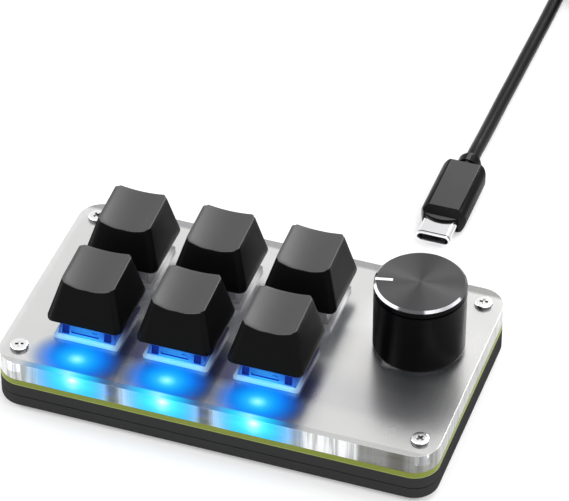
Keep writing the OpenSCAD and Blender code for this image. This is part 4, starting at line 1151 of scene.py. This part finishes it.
class KEYPAD_OT_inner_pieces(bpy.types.Operator):
    """Finishes the frame's own pieces: board, feet, port, encoder and what lies inside."""

    bl_idname = "keypad.inner_pieces"
    bl_label = "Board, port and encoder"

    def execute(self, context):
        colours = context.scene.keypad_colours
        black_nylon = surface("nylon_moulded", srgb("#171717"), 0.45)
        zinc = surface("zinc_die_cast", srgb("#c9c8c4"), 0.3, grain=0.3, depth=0.004, Metallic=1.0)
        bronze = surface("phosphor_bronze_stamped", srgb("#d9b56a"), 0.28, grain=0.2, depth=0.001,
                         Metallic=1.0)
        lamp = surface("epoxy_lens_moulded", srgb("#cfefff"), 0.25, Emission_Color=colours.light_core,
                       Emission_Strength=1.0)
        finishes = {
            "circuit_board": board_laminate(colours),
            "threaded_inserts": surface("brass_turned", srgb("#c79a3c"), 0.25, grain=0.2, Metallic=1.0),
            "rubber_feet": surface("rubber_die_cut", srgb("#121212"), 0.8, grain=0.3, depth=0.02),
            "board_lights": lamp,
            "switch_contacts": bronze,
            "controller_chip": surface("epoxy_chip_moulded", srgb("#1b1b1c"), 0.55, grain=0.1, depth=0.006),
            "small_components": surface("ceramic_sintered", srgb("#8d7350"), 0.5, patch=1, spread=0.3),
            "port_tongue": black_nylon,
            "encoder_base": black_nylon,
            "encoder_bracket": zinc,
            "encoder_pins_group": bronze,
            "press_dome": surface("steel_dome_pressed", srgb("#cfcfcf"), 0.22, Metallic=1.0),
            "encoder_rotor": surface("acetal_natural_moulded", srgb("#e9e7df"), 0.4),
            "encoder_shaft": zinc,
            "knob_hub": black_nylon,
            "knob_pointer": surface("white_enamel_filled", srgb("#fafafa"), 0.35, spread=0.02)}
        for node, finish in finishes.items():
            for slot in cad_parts[node].material_slots:
                slot.material = finish
        shell = rounded_node("port_shell", 0.08 * MM)
        steel = surface("steel_port_shell_drawn", srgb("#d8d8da"), 0.22, grain=0.2, depth=0.001, Metallic=1.0)
        hand_over(shell, "drawn_port_shell", "base", [steel], ["port_shell"])
        return {"FINISHED"}


class KEYPAD_OT_stage(bpy.types.Operator):
    """Adds the floor, the soft studio lamps and the pale surroundings."""

    bl_idname = "keypad.stage"
    bl_label = "Stage"

    def execute(self, context):
        bpy.ops.object.select_all(action="DESELECT")
        bpy.ops.mesh.primitive_plane_add(size=12, location=(0, 0, 0))
        floor = bpy.context.object
        floor.name = "floor"
        floor.data.materials.append(self.floor_finish())
        self.surroundings(context.scene)
        # Name, the two ends of the strip, its breadth and its power in watts
        softboxes = (
            ("right_softbox", (0.45, -0.72, 0.9), (1.0, 0.58, 0.46), 0.16, 5.5),
            ("left_softbox", (-0.58, -0.76, 0.8), (-1.15, 0.56, 0.08), 0.2, 8.5),
            ("top_softbox", (-0.4, 0.35, 1.4), (0.6, 0.35, 1.4), 0.5, 2.5),
            ("back_softbox", (0.05, 0.9, 1.0), (0.75, 0.8, 0.85), 0.3, 6.0),
            ("low_softbox", (-0.1, 1.3, 0.3), (0.15, 1.2, 0.6), 0.15, 2.5))
        for softbox in softboxes:
            self.softbox(*softbox)
        context.scene.view_settings.view_transform = "Standard"
        return {"FINISHED"}

    def floor_finish(self):
        """White paper: it takes the shadow, and shows a little brighter than it lights."""
        material = bpy.data.materials.new("white_paper")
        material.use_nodes = True
        tree = material.node_tree
        shader = tree.nodes["Principled BSDF"]
        shader.inputs["Base Color"].default_value = (0.72, 0.72, 0.72, 1)
        shader.inputs["Roughness"].default_value = 0.9
        shader.inputs["Specular IOR Level"].default_value = 0.0
        glow = add_node(tree, "ShaderNodeMapRange", {"Value": seen(tree), "To Max": 0.32})
        shader.inputs["Emission Color"].default_value = (1, 1, 1, 1)
        tree.links.new(glow.outputs[0], shader.inputs["Emission Strength"])
        return material

    def surroundings(self, scene):
        """Pale even surroundings, white where they are seen."""
        world = bpy.data.worlds.new("studio")
        world.use_nodes = True
        scene.world = world
        tree = world.node_tree
        strength = add_node(tree, "ShaderNodeMapRange", {"Value": seen(tree), "To Min": 0.45, "To Max": 1.0})
        back = tree.nodes["Background"]
        back.inputs["Color"].default_value = (1, 1, 1, 1)
        tree.links.new(strength.outputs[0], back.inputs["Strength"])

    def softbox(self, name, start, end, breadth, power):
        """Lamp strip from start to end that faces the keypad and isn't seen itself."""
        start, end = Vector(start), Vector(end)
        lamp = bpy.data.lights.new(name, "AREA")
        lamp.shape = "RECTANGLE"
        lamp.size, lamp.size_y, lamp.energy = (end - start).length, breadth, power
        box = bpy.data.objects.new(name, lamp)
        bpy.context.scene.collection.objects.link(box)
        box.location = (start + end) / 2
        back = box.location.normalized()
        across = (end - start - (end - start).dot(back) * back).normalized()
        box.rotation_mode = "QUATERNION"
        box.rotation_quaternion = Matrix((across, back.cross(across), back)).transposed().to_quaternion()
        box.visible_camera = False


class KEYPAD_PT_sidebar(bpy.types.Panel):
    """Lists the keypad's sizes, colours and building steps."""

    bl_idname = "KEYPAD_PT_sidebar"
    bl_label = "Macro Keypad"
    bl_space_type = "VIEW_3D"
    bl_region_type = "UI"
    bl_category = "Keypad"

    def draw(self, context):
        for group in (context.scene.keypad_sizes, context.scene.keypad_colours):
            for name in group.__annotations__:
                self.layout.prop(group, name)
        for step in STEPS:
            self.layout.operator(step.bl_idname)


STEPS = (KEYPAD_OT_camera, KEYPAD_OT_lead, KEYPAD_OT_body, KEYPAD_OT_keys, KEYPAD_OT_knob,
         KEYPAD_OT_inner_pieces, KEYPAD_OT_stage)
CLASSES = (KeypadSizes, KeypadColours, *STEPS, KEYPAD_PT_sidebar)


def register():
    for kind in CLASSES:
        bpy.utils.register_class(kind)
    bpy.types.Scene.keypad_sizes = bpy.props.PointerProperty(type=KeypadSizes)
    bpy.types.Scene.keypad_colours = bpy.props.PointerProperty(type=KeypadColours)


def unregister():
    del bpy.types.Scene.keypad_sizes
    del bpy.types.Scene.keypad_colours
    for kind in reversed(CLASSES):
        bpy.utils.unregister_class(kind)


def main():
    register()
    for step in STEPS:
        group, name = step.bl_idname.split(".")
        getattr(getattr(bpy.ops, group), name)()


if __name__ == "__main__":
    main()
